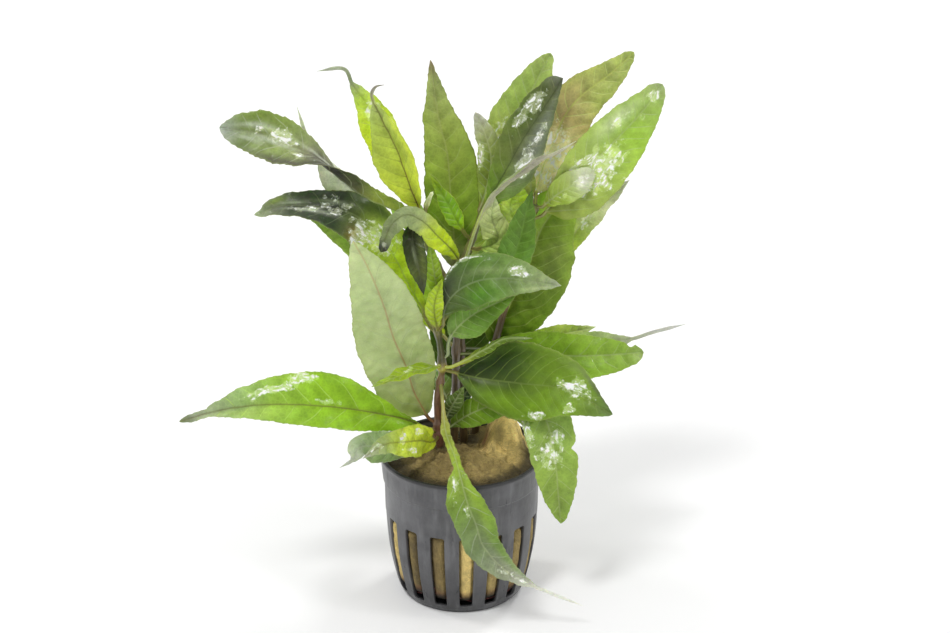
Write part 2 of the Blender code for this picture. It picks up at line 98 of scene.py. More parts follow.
def ripple(points, size, seed, waves=9):
    """Smooth seeded unevenness between about -1 and 1, with bumps of the given size."""
    rng = np.random.default_rng(seed)
    turn = unit(rng.normal(size=(waves, points.shape[-1])))
    pitch = 2 * pi / size * rng.uniform(0.6, 1.5, waves)
    phase = rng.uniform(0, 2 * pi, waves)
    return np.sin(points @ (turn * pitch[:, None]).T + phase).sum(axis=-1) / waves ** 0.5 * 0.8


def smooth_curve(points, count):
    """Points spread evenly along a Catmull-Rom curve through the given ones."""
    pts = np.asarray(points, float)
    gaps = np.sqrt(np.linalg.norm(np.diff(pts, axis=0), axis=1))
    knots = np.concatenate([[0.0], np.cumsum(gaps)])
    ends = np.vstack([2 * pts[0] - pts[1], pts, 2 * pts[-1] - pts[-2]])
    knots = np.concatenate([[-gaps[0]], knots, [knots[-1] + gaps[-1]]])
    fine = []
    for i in range(1, len(ends) - 2):
        p, t = ends[i - 1:i + 3], knots[i - 1:i + 3]
        for s in np.linspace(t[1], t[2], 24, endpoint=False):
            a = [((t[n + 1] - s) * p[n] + (s - t[n]) * p[n + 1]) / (t[n + 1] - t[n]) for n in range(3)]
            b = [((t[n + 2] - s) * a[n] + (s - t[n]) * a[n + 1]) / (t[n + 2] - t[n]) for n in range(2)]
            fine.append(((t[2] - s) * b[0] + (s - t[1]) * b[1]) / (t[2] - t[1]))
    fine.append(ends[-2])
    fine = np.array(fine)
    run = np.concatenate([[0.0], np.cumsum(np.linalg.norm(np.diff(fine, axis=0), axis=1))])
    at = np.linspace(0.0, run[-1], count)
    return np.stack([np.interp(at, run, fine[:, c]) for c in range(3)], axis=1)


def grid_faces(rows, columns, first=0, closed=False, flip=False):
    """Quads of a grid of vertices, whose columns may close into rings."""
    i, j = np.meshgrid(np.arange(rows - 1), np.arange(columns if closed else columns - 1), indexing="ij")
    i, j = i.ravel(), j.ravel()
    k = (j + 1) % columns
    row, above = i * columns, (i + 1) * columns
    quads = np.stack([row + j, row + k, above + k, above + j], axis=1)
    return (quads[:, ::-1] if flip else quads) + first


def make_object(name, verts, faces, material, replaces=(), attributes=None):
    """A smooth mesh piece, with vertices in millimetres, that rides on the part's only body."""
    mesh = bpy.data.meshes.new(name)
    mesh.from_pydata((np.asarray(verts, float) * MM).tolist(), [], [list(map(int, f)) for f in faces])
    mesh.validate()
    mesh.polygons.foreach_set("use_smooth", [True] * len(mesh.polygons))
    for key, values in (attributes or {}).items():
        values = np.asarray(values, np.float32)
        kind, field = {1: ("FLOAT", "value"), 3: ("FLOAT_VECTOR", "vector"),
                       4: ("FLOAT_COLOR", "color")}[1 if values.ndim == 1 else values.shape[1]]
        mesh.attributes.new(key, kind, "POINT").data.foreach_set(field, values.ravel())
    mesh.materials.append(material)
    ob = bpy.data.objects.new(name, mesh)
    bpy.context.scene.collection.objects.link(ob)
    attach(ob, "root")
    if replaces:
        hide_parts(*replaces)
    return ob


# Materials

NOISE_LOW, NOISE_HIGH = 0.3, 0.7          # most values of a noise lie between these
SHADE_HEIGHT = 30.0                       # the pot's wall is darker below this
# painted highlight colours: the pale glare and the white glints laid into the leaves' colour
PAINTED_GLARE = (0.66, 0.71, 0.44, 1.0)
PAINTED_GLINT = (0.96, 0.98, 0.94, 1.0)
PLASTIC = (0.045, 0.045, 0.048, 1.0)
PLASTIC_SHEEN = (0.155, 0.156, 0.164, 1.0)
PLASTIC_SCUFF_AND_SHEEN = (0.22, 0.22, 0.23, 1.0)
PLASTIC_LIP_SHADE = (0.020, 0.020, 0.021, 1.0)
ROOT_DARK = (0.05, 0.012, 0.012, 1.0)
ROOT_RED = (0.26, 0.07, 0.06, 1.0)


def fill(tree, node, values):
    """Each listed input of the node is set, or linked where a socket is given."""
    for key, value in values.items():
        if isinstance(value, bpy.types.NodeSocket):
            tree.links.new(value, node.inputs[key])
        else:
            node.inputs[key].default_value = value


def add(tree, kind, values=None, **settings):
    """The outputs of a new node with these settings and inputs."""
    node = tree.nodes.new(kind)
    for key, value in settings.items():
        setattr(node, key, value)
    fill(tree, node, values or {})
    return node.outputs


def new_material(name):
    mat = bpy.data.materials.new(name)
    mat.use_nodes = True
    return mat, mat.node_tree, mat.node_tree.nodes["Principled BSDF"]


def attribute(tree, name):
    return add(tree, "ShaderNodeAttribute", attribute_name=name)


def object_place(tree):
    return add(tree, "ShaderNodeTexCoord")["Object"]


def split(tree, vector):
    return add(tree, "ShaderNodeSeparateXYZ", {0: vector})


def turned(tree, place, scale, rotation=(0.0, 0.0, 0.0), location=(0.0, 0.0, 0.0)):
    values = {"Vector": place, "Scale": scale, "Rotation": rotation, "Location": location}
    return add(tree, "ShaderNodeMapping", values)["Vector"]


def noise(tree, place, scale, detail=3.0, roughness=0.55, distortion=0.0):
    values = {"Vector": place, "Scale": scale, "Detail": detail, "Roughness": roughness,
              "Distortion": distortion}
    return add(tree, "ShaderNodeTexNoise", values)["Fac"]


def remap(tree, value, low, high, to_low=0.0, to_high=1.0):
    values = {"Value": value, "From Min": low, "From Max": high, "To Min": to_low, "To Max": to_high}
    return add(tree, "ShaderNodeMapRange", values)["Result"]


def vary(tree, noise_value, to_low, to_high):
    """A noise spread over the given range."""
    return remap(tree, noise_value, NOISE_LOW, NOISE_HIGH, to_low, to_high)


def maths(tree, operation, first, *others):
    """One operation, applied to its values from left to right."""
    for other in others or (0.0,):
        first = add(tree, "ShaderNodeMath", {0: first, 1: other}, operation=operation)["Value"]
    return first


def mix(tree, factor, a, b):
    return add(tree, "ShaderNodeMix", {"Factor": factor, 6: a, 7: b}, data_type="RGBA")[2]


def scaled(tree, colour, value):
    """The colour made lighter or darker by a factor."""
    return add(tree, "ShaderNodeVectorMath", {0: colour, "Scale": value}, operation="SCALE")[0]


def bump(tree, height, distance, strength=1.0, normal=None):
    values = {"Height": height, "Distance": distance * MM, "Strength": strength}
    if normal is not None:
        values["Normal"] = normal
    return add(tree, "ShaderNodeBump", values)["Normal"]


def wiggles(tree, place, scale, wide):
    """Thin winding lines, strongest where a noise passes its middle."""
    from_middle = maths(tree, "ABSOLUTE", maths(tree, "SUBTRACT", noise(tree, place, scale, 2.0), 0.5))
    return remap(tree, from_middle, wide, 0.3 * wide)


def leaf_material():
    """Living leaf: a tint with fine mottling, a midrib, side veins and a net of small veins between.

    A water film lies over it where it is wet. Painted highlights stand for its glints: where the
    glint attribute is strong, white winding glints and small bright drops are painted into the
    colour, with a painted pale glare around them.
    """
    mat, tree, shader = new_material("leaf_surface")
    tint = attribute(tree, "tint")["Color"]
    place = attribute(tree, "place")["Vector"]
    wet = attribute(tree, "wet")["Fac"]
    glint = attribute(tree, "glint")["Fac"]
    net = attribute(tree, "net")["Fac"]
    line_colour = attribute(tree, "line")
    flow = split(tree, attribute(tree, "flow")["Vector"])
    across = split(tree, place)["X"]

    # how near the midrib is, and the nearest of the side veins, which alternate left and right
    left = maths(tree, "MULTIPLY", maths(tree, "LESS_THAN", across, 0.0), 0.5)
    phase = maths(tree, "FRACT", maths(tree, "ADD", flow["X"], left, 0.5))
    away = maths(tree, "ABSOLUTE", maths(tree, "SUBTRACT", phase, 0.5))
    away = maths(tree, "MULTIPLY", away, flow["Y"])
    vein = maths(tree, "MULTIPLY", remap(tree, away, 0.34, 0.08), flow["Z"])
    rib = remap(tree, maths(tree, "ABSOLUTE", across), 0.42, 0.12)
    line = maths(tree, "MAXIMUM", vein, rib)

    # mottling, the net of small veins, and a painted light and a painted dark flank along each side vein,
    # standing for the swelling between the veins lit from one side
    web = add(tree, "ShaderNodeTexVoronoi", {"Vector": place, "Scale": 0.7, "Randomness": 0.9},
              feature="DISTANCE_TO_EDGE")["Distance"]
    cells = remap(tree, web, 0.0, 0.20)
    mottle = vary(tree, noise(tree, place, 0.22, 4.0), 0.90, 1.10)
    grain = vary(tree, noise(tree, place, 2.2, 2.0), 0.95, 1.05)
    fine_net = maths(tree, "MULTIPLY", remap(tree, cells, 0.0, 1.0, 0.12, -0.02), net)
    painted_flank = maths(tree, "SINE", maths(tree, "MULTIPLY", phase, 2 * pi))
    painted_flank = maths(tree, "MULTIPLY", painted_flank, flow["Z"], 0.06, net)
    colour = scaled(tree, tint, maths(tree, "MULTIPLY", mottle, grain))
    colour = scaled(tree, colour, maths(tree, "ADD", fine_net, painted_flank, 1.0))
    colour = mix(tree, maths(tree, "MULTIPLY", line, line_colour["Alpha"]), colour, line_colour["Color"])

    # painted highlights: white blobs, drops and thin lines in the colour, close together where the glint
    # attribute is strong
    patchy = noise(tree, place, 0.3, 3.0, 0.6)
    least = remap(tree, glint, 0.0, 1.0, 0.80, 0.28)
    dense = remap(tree, maths(tree, "SUBTRACT", patchy, least), 0.0, 0.12)
    streaked = turned(tree, place, (1.0, 0.42, 1.0), (0.0, 0.0, 0.5))
    blobs = remap(tree, noise(tree, streaked, 0.75, 2.0, 0.55, 0.5), 0.50, 0.60)
    drops = add(tree, "ShaderNodeTexVoronoi", {"Vector": place, "Scale": 0.75})["Distance"]
    drops = maths(tree, "MULTIPLY", remap(tree, drops, 0.30, 0.10), 0.9)
    lines = maths(tree, "MULTIPLY", wiggles(tree, place, 0.3, 0.05), 0.2)
    white = maths(tree, "MULTIPLY", maths(tree, "MAXIMUM", blobs, drops, lines), dense)
    # painted glare: the colour is made lighter and paler around the painted glints
    painted_glare = maths(tree, "MULTIPLY", dense, 0.30)
    colour = mix(tree, painted_glare, scaled(tree, colour, remap(tree, painted_glare, 0.0, 0.3, 1.0, 1.35)), PAINTED_GLARE)
    colour = mix(tree, white, colour, PAINTED_GLINT)

    # relief of the cells and the veins, and the smoother film over it
    film = noise(tree, place, 0.62, 2.0, 0.5, 0.6)
    fine = noise(tree, place, 1.6, 3.0, 0.6)
    relief = maths(tree, "ADD", maths(tree, "MULTIPLY", cells, 0.35), fine)
    relief = maths(tree, "SUBTRACT", relief, maths(tree, "MULTIPLY", line, 1.2))
    wavy = bump(tree, film, 0.55, wet, bump(tree, relief, 0.06))
    rough = maths(tree, "MULTIPLY", vary(tree, fine, 0.36, 0.48), remap(tree, wet, 0.0, 1.0, 1.0, 0.42))
    fill(tree, shader, {"Base Color": colour, "Roughness": rough, "Normal": wavy, "Coat Normal": wavy,
                        "Coat Weight": wet, "Coat Roughness": 0.04, "Coat IOR": 1.45,
                        "Specular IOR Level": 0.15, "Subsurface Weight": 0.25,
                        "Subsurface Radius": (0.6, 1.0, 0.2), "Subsurface Scale": 0.9 * MM})
    return mat


def stem_material():
    """Smooth soft stem, reddish brown and streaked along its length, greener at the top."""
    mat, tree, shader = new_material("stem_surface")
    place = attribute(tree, "place")["Vector"]
    streak = noise(tree, turned(tree, place, (1.0, 0.12, 1.0)), 1.6, 4.0, 0.6)
    spots = noise(tree, place, 0.9, 3.0)
    colour = scaled(tree, attribute(tree, "tint")["Color"], vary(tree, streak, 0.72, 1.28))
    colour = scaled(tree, colour, vary(tree, spots, 0.85, 1.15))
    fill(tree, shader, {"Base Color": colour, "Normal": bump(tree, streak, 0.12),
                        "Roughness": vary(tree, spots, 0.28, 0.45), "Coat Weight": 0.25,
                        "Coat Roughness": 0.15})
    return mat


def wool_material():
    """Wet mineral wool: matted fibres that run in all directions, lighter where they dry."""
    mat, tree, shader = new_material("wool_surface")
    place = object_place(tree)
    warped = scaled(tree, noise(tree, place, 350.0, 2.0), 0.004)
    shift = add(tree, "ShaderNodeVectorMath", {0: place, 1: warped}, operation="ADD")[0]
    strands = []
    for turn, seed in (((0.3, 0.2, 0.5), 0.0), ((1.2, -0.4, 1.7), 3.0), ((-0.7, 0.9, 2.6), 7.0)):
        way = turned(tree, shift, (1.0, 7.0, 1.0), turn, (seed, 0.0, 0.0))
        strands.append(noise(tree, way, 300.0, 3.0, 0.6))
    fibres = maths(tree, "MAXIMUM", *strands)
    clumps = noise(tree, place, 260.0, 5.0, 0.65)
    colour = scaled(tree, attribute(tree, "tint")["Color"], remap(tree, clumps, 0.32, 0.68, 0.78, 1.35))
    colour = scaled(tree, colour, remap(tree, fibres, 0.5, 0.8, 0.85, 1.35))
    height = maths(tree, "ADD", maths(tree, "MULTIPLY", clumps, 1.4), fibres)
    fill(tree, shader, {"Base Color": colour, "Normal": bump(tree, height, 0.6),
                        "Roughness": vary(tree, clumps, 0.6, 0.9), "Specular IOR Level": 0.35})
    return mat


def pot_material():
    """Satin black moulded plastic that looks grey in the light: lighter grey clouds painted on as sheen, and
    streaks down the wall, part scuffs and part painted sheen.
    """
    mat, tree, shader = new_material("pot_plastic")
    place = object_place(tree)
    upright = turned(tree, place, (1.0, 1.0, 0.18))
    film = noise(tree, place, 70.0, 5.0, 0.6)
    streak = noise(tree, upright, 240.0, 4.0, 0.6)
    # painted sheen: lighter grey clouds over the black plastic
    sheen_clouds = remap(tree, maths(tree, "ADD", film, maths(tree, "MULTIPLY", streak, 0.6)), 0.55, 1.05)
    height = split(tree, place)["Z"]
    colour = mix(tree, sheen_clouds, PLASTIC, PLASTIC_SHEEN)
    # painted shade: the wall darkens towards the foot
    colour = scaled(tree, colour, remap(tree, height, 0.0, SHADE_HEIGHT * MM, 0.50, 1.0))
    # a dark line at the lip (painted shade), and lighter streaks down the wall, part scuffs and part painted
    # sheen
    # painted shade: the wall turns to a black line at the lip, for the shadow inside the rim
    lip = remap(tree, height, (POT_HEIGHT - 1.6) * MM, (POT_HEIGHT - 0.6) * MM)
    scuffs_and_sheen = maths(tree, "MULTIPLY", remap(tree, noise(tree, upright, 330.0, 3.0, 0.6), 0.52, 0.68), 0.3)
    colour = mix(tree, lip, mix(tree, scuffs_and_sheen, colour, PLASTIC_SCUFF_AND_SHEEN), PLASTIC_LIP_SHADE)
    grain = noise(tree, place, 2600.0, 2.0)
    uneven = bump(tree, grain, 0.03, 1.0, bump(tree, film, 0.5))
    fill(tree, shader, {"Base Color": colour, "Roughness": vary(tree, streak, 0.24, 0.52), "Normal": uneven})
    return mat


def root_material():
    mat, tree, shader = new_material("root_surface")
    uneven = vary(tree, noise(tree, object_place(tree), 500.0), 0.0, 1.0)
    fill(tree, shader, {"Base Color": mix(tree, uneven, ROOT_DARK, ROOT_RED), "Roughness": 0.4})
    return mat


def floor_material():
    mat, tree, shader = new_material("pale_floor")
    tone = vary(tree, noise(tree, object_place(tree), 3.0), 0.90, 0.93)
    fill(tree, shader, {"Base Color": scaled(tree, (1.0, 1.0, 1.0), tone), "Roughness": 0.9,
                        "Specular IOR Level": 0.0})
    return mat


# Pot

def through(places, values, at):
    """Smooth curve through the given values."""
    places, values = np.asarray(places, float), np.asarray(values, float)
    slopes = np.gradient(values, places)
    at = np.clip(at, places[0], places[-1])
    i = np.clip(np.searchsorted(places, at) - 1, 0, len(places) - 2)
    h = places[i + 1] - places[i]
    t = (at - places[i]) / h
    return ((1 + 2 * t) * (1 - t) ** 2 * values[i] + t * (1 - t) ** 2 * h * slopes[i]
            + t * t * (3 - 2 * t) * values[i + 1] + t * t * (t - 1) * h * slopes[i + 1])


def outer_radius(z):
    """Outside of the wall: a round foot, a gentle taper, the step of the band and a small lip."""
    heights = [0.0, 1.0, SLOT_LOW, 7.0, 12.0, 18.0, SLOT_HIGH, POT_HEIGHT - BAND_DEPTH - 0.6,
               POT_HEIGHT - 4.5, POT_HEIGHT]
    radii = [19.4, 20.4, 21.5, 22.6, 23.7, SLOT_RADIUS, 25.7, 26.0, 26.5,
             RIM_RADIUS - BAND_STEP - LIP_STEP]
    body = through(heights, radii, z)
    band = BAND_STEP * smoothstep(POT_HEIGHT - BAND_DEPTH - 0.6, POT_HEIGHT - BAND_DEPTH + 0.1, z)
    lip = LIP_STEP * smoothstep(POT_HEIGHT - 1.7, POT_HEIGHT - 0.9, z)
    return body + band + lip


def slot_outline(share_x, share_z):
    """A point of a slot's rounded outline, given as shares of the way across and up."""
    half_wide = pi / SLOTS * SLOT_SHARE * SLOT_RADIUS
    half_high = (SLOT_HIGH - SLOT_LOW) / 2
    x, z = share_x * half_wide, share_z * half_high
    over_x, over_z = abs(x) - (half_wide - SLOT_CORNER), abs(z) - (half_high - SLOT_CORNER)
    if over_x > 0 and over_z > 0:
        length = (over_x ** 2 + over_z ** 2) ** 0.5
        longest = max(over_x, over_z)
        x = np.sign(x) * (half_wide - SLOT_CORNER + over_x * longest / length)
        z = np.sign(z) * (half_high - SLOT_CORNER + over_z * longest / length)
    return x / SLOT_RADIUS, (SLOT_HIGH + SLOT_LOW) / 2 + z


def make_pot(material):
    """The wall is a ring of cells, each with a slot in it, given thickness towards the axis."""
    across, upward, layers = 8, 26, 4
    pitch = 2 * pi / SLOTS
    low, high = SLOT_LOW - 1.2, SLOT_HIGH + 1.4
    floor_edge = 1.75
    # rows of the plain wall lie close together where the band and the lip step out
    top_rows = [high, 34.5, 37.0, 39.5, 41.0, 41.4, 41.6, 41.8, 42.0, 42.2, 42.6, 44.0, 46.0, 48.0,
                49.3, 49.7, 50.1, 50.6, POT_HEIGHT]
    foot_rows = [0.0, 0.2, 0.45, 0.8, 1.2, 1.6, low]
    level = np.linspace(-1, 1, across + 1)
    spread = np.linspace(-1, 1, upward + 1)
    spread = (np.sin(spread * pi / 2) + spread) * 0.5
    rim_path = [(x, -1.0) for x in level[:-1]] + [(1.0, z) for z in spread[:-1]]
    rim_path += [(-x, -z) for x, z in rim_path]
    pairs = [(j, (j + 1) % len(rim_path)) for j in range(len(rim_path))]
    verts, quads, index = [], [], {}

    def vertex(angle, z, inside):
        key = (round(angle % (2 * pi), 5) % round(2 * pi, 5), round(float(z), 4), inside)
        if key not in index:
            radius = float(outer_radius(z)) - (WALL if inside else 0.0)
            index[key] = len(verts)
            verts.append((radius * cos(angle), radius * sin(angle), float(z)))
        return index[key]

    def face(corners, inside):
        """A quad through corners given as angle and height, which faces the axis when inside."""
        quads.append([vertex(a, z, inside) for a, z in (corners[::-1] if inside else corners)])

    def strip(a, b, rows, *sides):
        """Quads between two angles, from each row to the next."""
        for z, above in zip(rows, rows[1:]):
            for inside in sides:
                face([(a, z), (b, z), (b, above), (a, above)], inside)

    for cell in range(SLOTS):
        middle = -pi / 2 + radians(SLOT_TURN) + cell * pitch
        rings = []
        for layer in range(layers + 1):
            f = (layer / layers) ** 1.3
            ring = []
            for sx, sz in rim_path:
                wide_x = sx * pitch / 2
                wide_z = (low + high) / 2 + sz * (high - low) / 2
                x, z = slot_outline(sx, sz)
                ring.append((middle + x * (1 - f) + wide_x * f, z * (1 - f) + wide_z * f))
            rings.append(ring)
        for inner, outer in zip(rings, rings[1:]):
            for j, k in pairs:
                for inside in (False, True):
                    face([outer[j], outer[k], inner[k], inner[j]], inside)
        edge = rings[0]
        for j, k in pairs:
            quads.append([vertex(*edge[k], False), vertex(*edge[k], True), vertex(*edge[j], True),
                          vertex(*edge[j], False)])
        columns = [middle + x * pitch / 2 for x in level]
        for a, b in zip(columns, columns[1:]):
            strip(a, b, top_rows, False, True)
            strip(a, b, foot_rows, False)
            strip(a, b, [floor_edge, low], True)
            quads.append([vertex(a, POT_HEIGHT, False), vertex(b, POT_HEIGHT, False),
                          vertex(b, POT_HEIGHT, True), vertex(a, POT_HEIGHT, True)])
    # the base is a disc: rings of steps inwards from each wall, closed at the middle
    angles = [-pi / 2 + radians(SLOT_TURN) + cell * pitch + x * pitch / 2
              for cell in range(SLOTS) for x in level[:-1]]
    round_base = [(j, (j + 1) % len(angles)) for j in range(len(angles))]
    for wall_z, inside, height, hollow in ((0.0, False, 0.0, HOLLOW_DEPTH), (floor_edge, True, FLOOR, 0.0)):
        last = [vertex(a, wall_z, inside) for a in angles]
        for radius in (17.0, 15.8, 15.2, 10.0, 5.0):
            z = height + (hollow if radius < HOLLOW_RADIUS else 0.0)
            ring = [len(verts) + j for j in range(len(angles))]
            verts += [(radius * cos(a), radius * sin(a), z) for a in angles]
            for j, k in round_base:
                quad = [last[j], last[k], ring[k], ring[j]]
                quads.append(quad if inside else quad[::-1])
            last = ring
        verts.append((0.0, 0.0, height + hollow))
        for j, k in round_base:
            triangle = [last[j], last[k], len(verts) - 1]
            quads.append(triangle if inside else triangle[::-1])
    ob = make_object("pot", verts, quads, material, ["net_pot"])
    soften = ob.modifiers.new("softened edges", "BEVEL")
    soften.width = 0.16 * MM
    soften.segments = 2
    soften.limit_method = "ANGLE"
    soften.angle_limit = radians(50)
    return ob


# Rock wool

WOOL_EDGE = 48.5          # height where the wool meets the wall
WOOL_BLOCK = (15.0, 5.0, 12.5)   # x, y and rise of the folded block that stands up at the right
WOOL_FOOT = 4.0
SAND = (1.0, 0.76, 0.27, 1.0)
OCHRE = (0.36, 0.27, 0.10, 1.0)
WET_BROWN = (0.12, 0.085, 0.035, 1.0)
BLACKISH = (0.02, 0.016, 0.008, 1.0)
RED_BROWN = (0.28, 0.08, 0.05, 1.0)


def wool_height(x, y):
    """Lumpy top of the rock wool, as in the part's source."""
    r = np.minimum(1.0, np.hypot(x, y) / 24.5)
    bx, by, rise = WOOL_BLOCK
    block = rise * np.exp(-(((x - bx) / 6.5) ** 4 + ((y - by) / 8.0) ** 4))
    hollow = 2.0 * np.exp(-((x - 3.0) ** 2 + (y - 7.0) ** 2) / 40.0)
    lumps = 0.7 * np.sin(0.42 * x + 1.0) * np.cos(0.38 * y - 0.6) + 0.4 * np.sin(0.9 * x + 0.7 * y)
    mound = 3.6 * (1 - r ** 2)
    edge = 1 - r ** 6
    return WOOL_EDGE + mound + (block - hollow + lumps) * edge


def wool_tint(points):
    """Light on the folded block and dark and wet to the left, with painted shade in the hollow, where the
    stems go in, at the front wall and low down.
    """
    x, y, z = points.T
    r = np.hypot(x, y)
    block = np.exp(-(((x - WOOL_BLOCK[0]) / 8.0) ** 4 + ((y - WOOL_BLOCK[1]) / 11.0) ** 4))
    height = smoothstep(WOOL_EDGE, WOOL_EDGE + 9.0, z)
    tint = np.array(OCHRE) * np.ones((len(x), 1))

    def lay(colour, amount):
        nonlocal tint
        tint = tint + (np.array(colour) - tint) * np.clip(amount, 0, 1)[:, None]

    top = z > WOOL_EDGE - 2.5
    lay(WET_BROWN, 0.35 * smoothstep(6.0, -12.0, x) * top)
    lay(SAND, block * (0.75 + 0.25 * height))
    lay(RED_BROWN, 0.8 * np.exp(-((x - 8.0) / 1.2) ** 2 - ((y - 3.0) / 4.0) ** 2) * top)
    lay(WET_BROWN, 0.7 * np.exp(-((x - 12.5) / 2.0) ** 2 - ((y + 1.0) / 2.0) ** 2) * top)
    # painted shade in the hollow behind the stems
    lay(BLACKISH, 0.95 * np.exp(-((x - 1.0) ** 2 + (y - 12.0) ** 2) / 60.0) * top)
    # painted shade where the stems go into the wool
    lay(BLACKISH, 0.7 * np.exp(-((x + 6.0) ** 2 + (y - 2.0) ** 2) / 20.0) * top)
    # painted shadow of the rim on the wool by the front wall
    lay(BLACKISH, 0.85 * smoothstep(17.5, 22.5, r) * (y < 4) * top)
    # seen through the slots: dark to the left of the front, light in front and far to the left
    turn = np.degrees(np.arctan2(x, -y))
    lay(WET_BROWN, 0.95 * np.exp(-((turn + 29.0) / 17.0) ** 2) * ~top)
    lay(BLACKISH, 0.5 * np.exp(-((turn + 37.0) / 9.0) ** 2) * ~top)
    lay(SAND, 0.5 * np.exp(-((turn - 8.0) / 11.0) ** 2) * ~top)
    lay(SAND, 0.35 * np.exp(-((turn + 62.0) / 12.0) ** 2) * ~top)
    lay(WET_BROWN, 0.3 * np.exp(-((turn - 60.0) / 25.0) ** 2) * ~top)
    lay(WET_BROWN, 0.7 * smoothstep(9.0, 4.0, z))
    lay(RED_BROWN, 0.3 * smoothstep(10.0, 8.0, z))
    # painted shade low down, where the slots show the dark inside of the pot
    lay(BLACKISH, smoothstep(9.5, 6.0, z))
    return tint


def make_wool(material):
    around, rings, levels = 18 * SLOTS, 56, 64
    turn = 2 * pi * np.arange(around) / around
    top_radius = float(outer_radius(WOOL_EDGE)) - WALL - 0.35
    share = np.linspace(0.02, 1.0, rings)
    radius = share[:, None] * top_radius
    x, y = radius * np.cos(turn), radius * np.sin(turn)
    top = np.stack([x, y, wool_height(x, y)], axis=-1)
    z = np.linspace(WOOL_EDGE - 0.5, WOOL_FOOT + 0.2, levels)
    shrink = 0.55 + 1.6 * smoothstep(6.0, 3.0, z)
    radius = (outer_radius(z) - WALL - shrink)[:, None] * np.ones(around)
    # the wool swells a little into the open slots
    off = (np.degrees(turn) + 90 - SLOT_TURN + 180 / SLOTS) % (360 / SLOTS) - 180 / SLOTS
    swell = 1.35 * np.clip(1 - np.abs(off / 5.0) ** 5, 0, 1)
    open_wall = smoothstep(SLOT_LOW + 0.5, SLOT_LOW + 4, z) * smoothstep(SLOT_HIGH - 0.3, SLOT_HIGH - 2, z)
    radius = radius + swell * open_wall[:, None]
    side = np.stack([radius * np.cos(turn), radius * np.sin(turn), z[:, None] * np.ones(around)], axis=-1)
    sheet = np.concatenate([top, side]).reshape(-1, 3)
    # fibres and folds stand out of the surface, less where the wall holds them
    out = unit(sheet - np.array([0.0, 0.0, 30.0]))
    above = smoothstep(WOOL_EDGE - 1.0, WOOL_EDGE + 1.5, sheet[:, 2])
    lump = ripple(sheet, 5.0, 3) * 0.55 + ripple(sheet, 2.0, 5, 14) * 0.30
    crease = np.clip(1 - np.abs(ripple(sheet, 7.0, 9, 12)) / 0.12, 0, 1)
    lump = lump - 0.8 * crease * above
    tufts = np.maximum(0.0, ripple(sheet, 1.1, 7, 20)) * 0.35
    sheet = sheet + out * ((lump + tufts) * (0.25 + 0.75 * above))[:, None]
    crown = [0.0, 0.0, float(wool_height(0.0, 0.0))]
    verts = np.vstack([sheet, crown, [0.0, 0.0, WOOL_FOOT]])
    rows = rings + levels
    faces = grid_faces(rows, around, closed=True, flip=True).tolist()
    faces += [[len(sheet), j, (j + 1) % around] for j in range(around)]
    last = (rows - 1) * around
    faces += [[len(sheet) + 1, last + (j + 1) % around, last + j] for j in range(around)]
    return make_object("wool", verts, faces, material, ["rock_wool"], {"tint": wool_tint(verts)})


def tube(line, radius, sides):
    """Points and faces of a closed tube along a line, with a radius for each place on it."""
    line = np.asarray(line, float)
    along = unit(np.gradient(line, axis=0))
    helper = np.where(np.abs(along[:, 2:3]) > 0.8, [[0.0, 1.0, 0.0]], [[0.0, 0.0, 1.0]])
    side = unit(np.cross(along, helper[len(helper) // 2]))
    back = np.cross(along, side)
    turn = 2 * pi * np.arange(sides) / sides
    radius = np.broadcast_to(radius, len(line))[:, None, None]
    ring = radius * (np.cos(turn)[:, None] * side[:, None] + np.sin(turn)[:, None] * back[:, None])
    verts = (line[:, None] + ring).reshape(-1, 3)
    faces = grid_faces(len(line), sides, closed=True).tolist()
    faces.append(list(range(sides))[::-1])
    faces.append([len(verts) - sides + j for j in range(sides)])
    return verts, faces


def make_strands(name, lines, radius, sides, material, tint):
    """Many thin fibres as one piece."""
    verts, faces, count = [], [], 0
    for line in lines:
        v, f = tube(line, radius * np.linspace(1.0, 0.5, len(line)), sides)
        faces += [[i + count for i in face] for face in f]
        verts.append(v)
        count += len(v)
    tints = np.ones((count, 1)) * np.array(tint)
    return make_object(name, np.vstack(verts), faces, material, (), {"tint": tints})


def wool_fibres(count=170):
    """Loose curved fibres lying on the top of the wool, their ends standing out of it."""
    rng = np.random.default_rng(21)
    lines = []
    while len(lines) < count:
        x, y = rng.uniform(-23, 23, 2)
        if np.hypot(x, y) > 22.5:
            continue
        heading = rng.uniform(0, 2 * pi)
        length, bend = rng.uniform(2.0, 6.0), rng.normal(0, 0.5)
        steps = np.linspace(0, 1, 7)
        way = heading + bend * steps
        px = x + np.cumsum(np.cos(way)) * length / 7
        py = y + np.cumsum(np.sin(way)) * length / 7
        if np.hypot(px, py).max() > 23.0:
            continue
        lift = 0.15 + rng.uniform(0.1, 1.0) * np.sin(steps * pi * rng.uniform(0.4, 1.0))
        lines.append(np.stack([px, py, wool_height(px, py) + lift], axis=1))
    return lines


def root_lines(count=34):
    """Short roots pressed between the wool and the wall, mostly low in the slots."""
    rng = np.random.default_rng(8)
    lines = []
    for _ in range(count):
        a, z = rng.uniform(0, 2 * pi), rng.uniform(4.5, 12.0)
        steps = np.linspace(0, 1, 9)
        angle = a + rng.normal(0, 0.12) * steps * 3
        height = np.maximum(3.0, z + rng.normal(0, 0.7) * 6 * steps - 3.0 * steps)
        radius = outer_radius(height) - WALL - 0.25 - 0.9 * smoothstep(6.0, 3.0, height)
        lines.append(np.stack([radius * np.cos(angle), radius * np.sin(angle), height], axis=1))
    return lines


# Stems, as in the part's source: each rises from the wool through the points listed

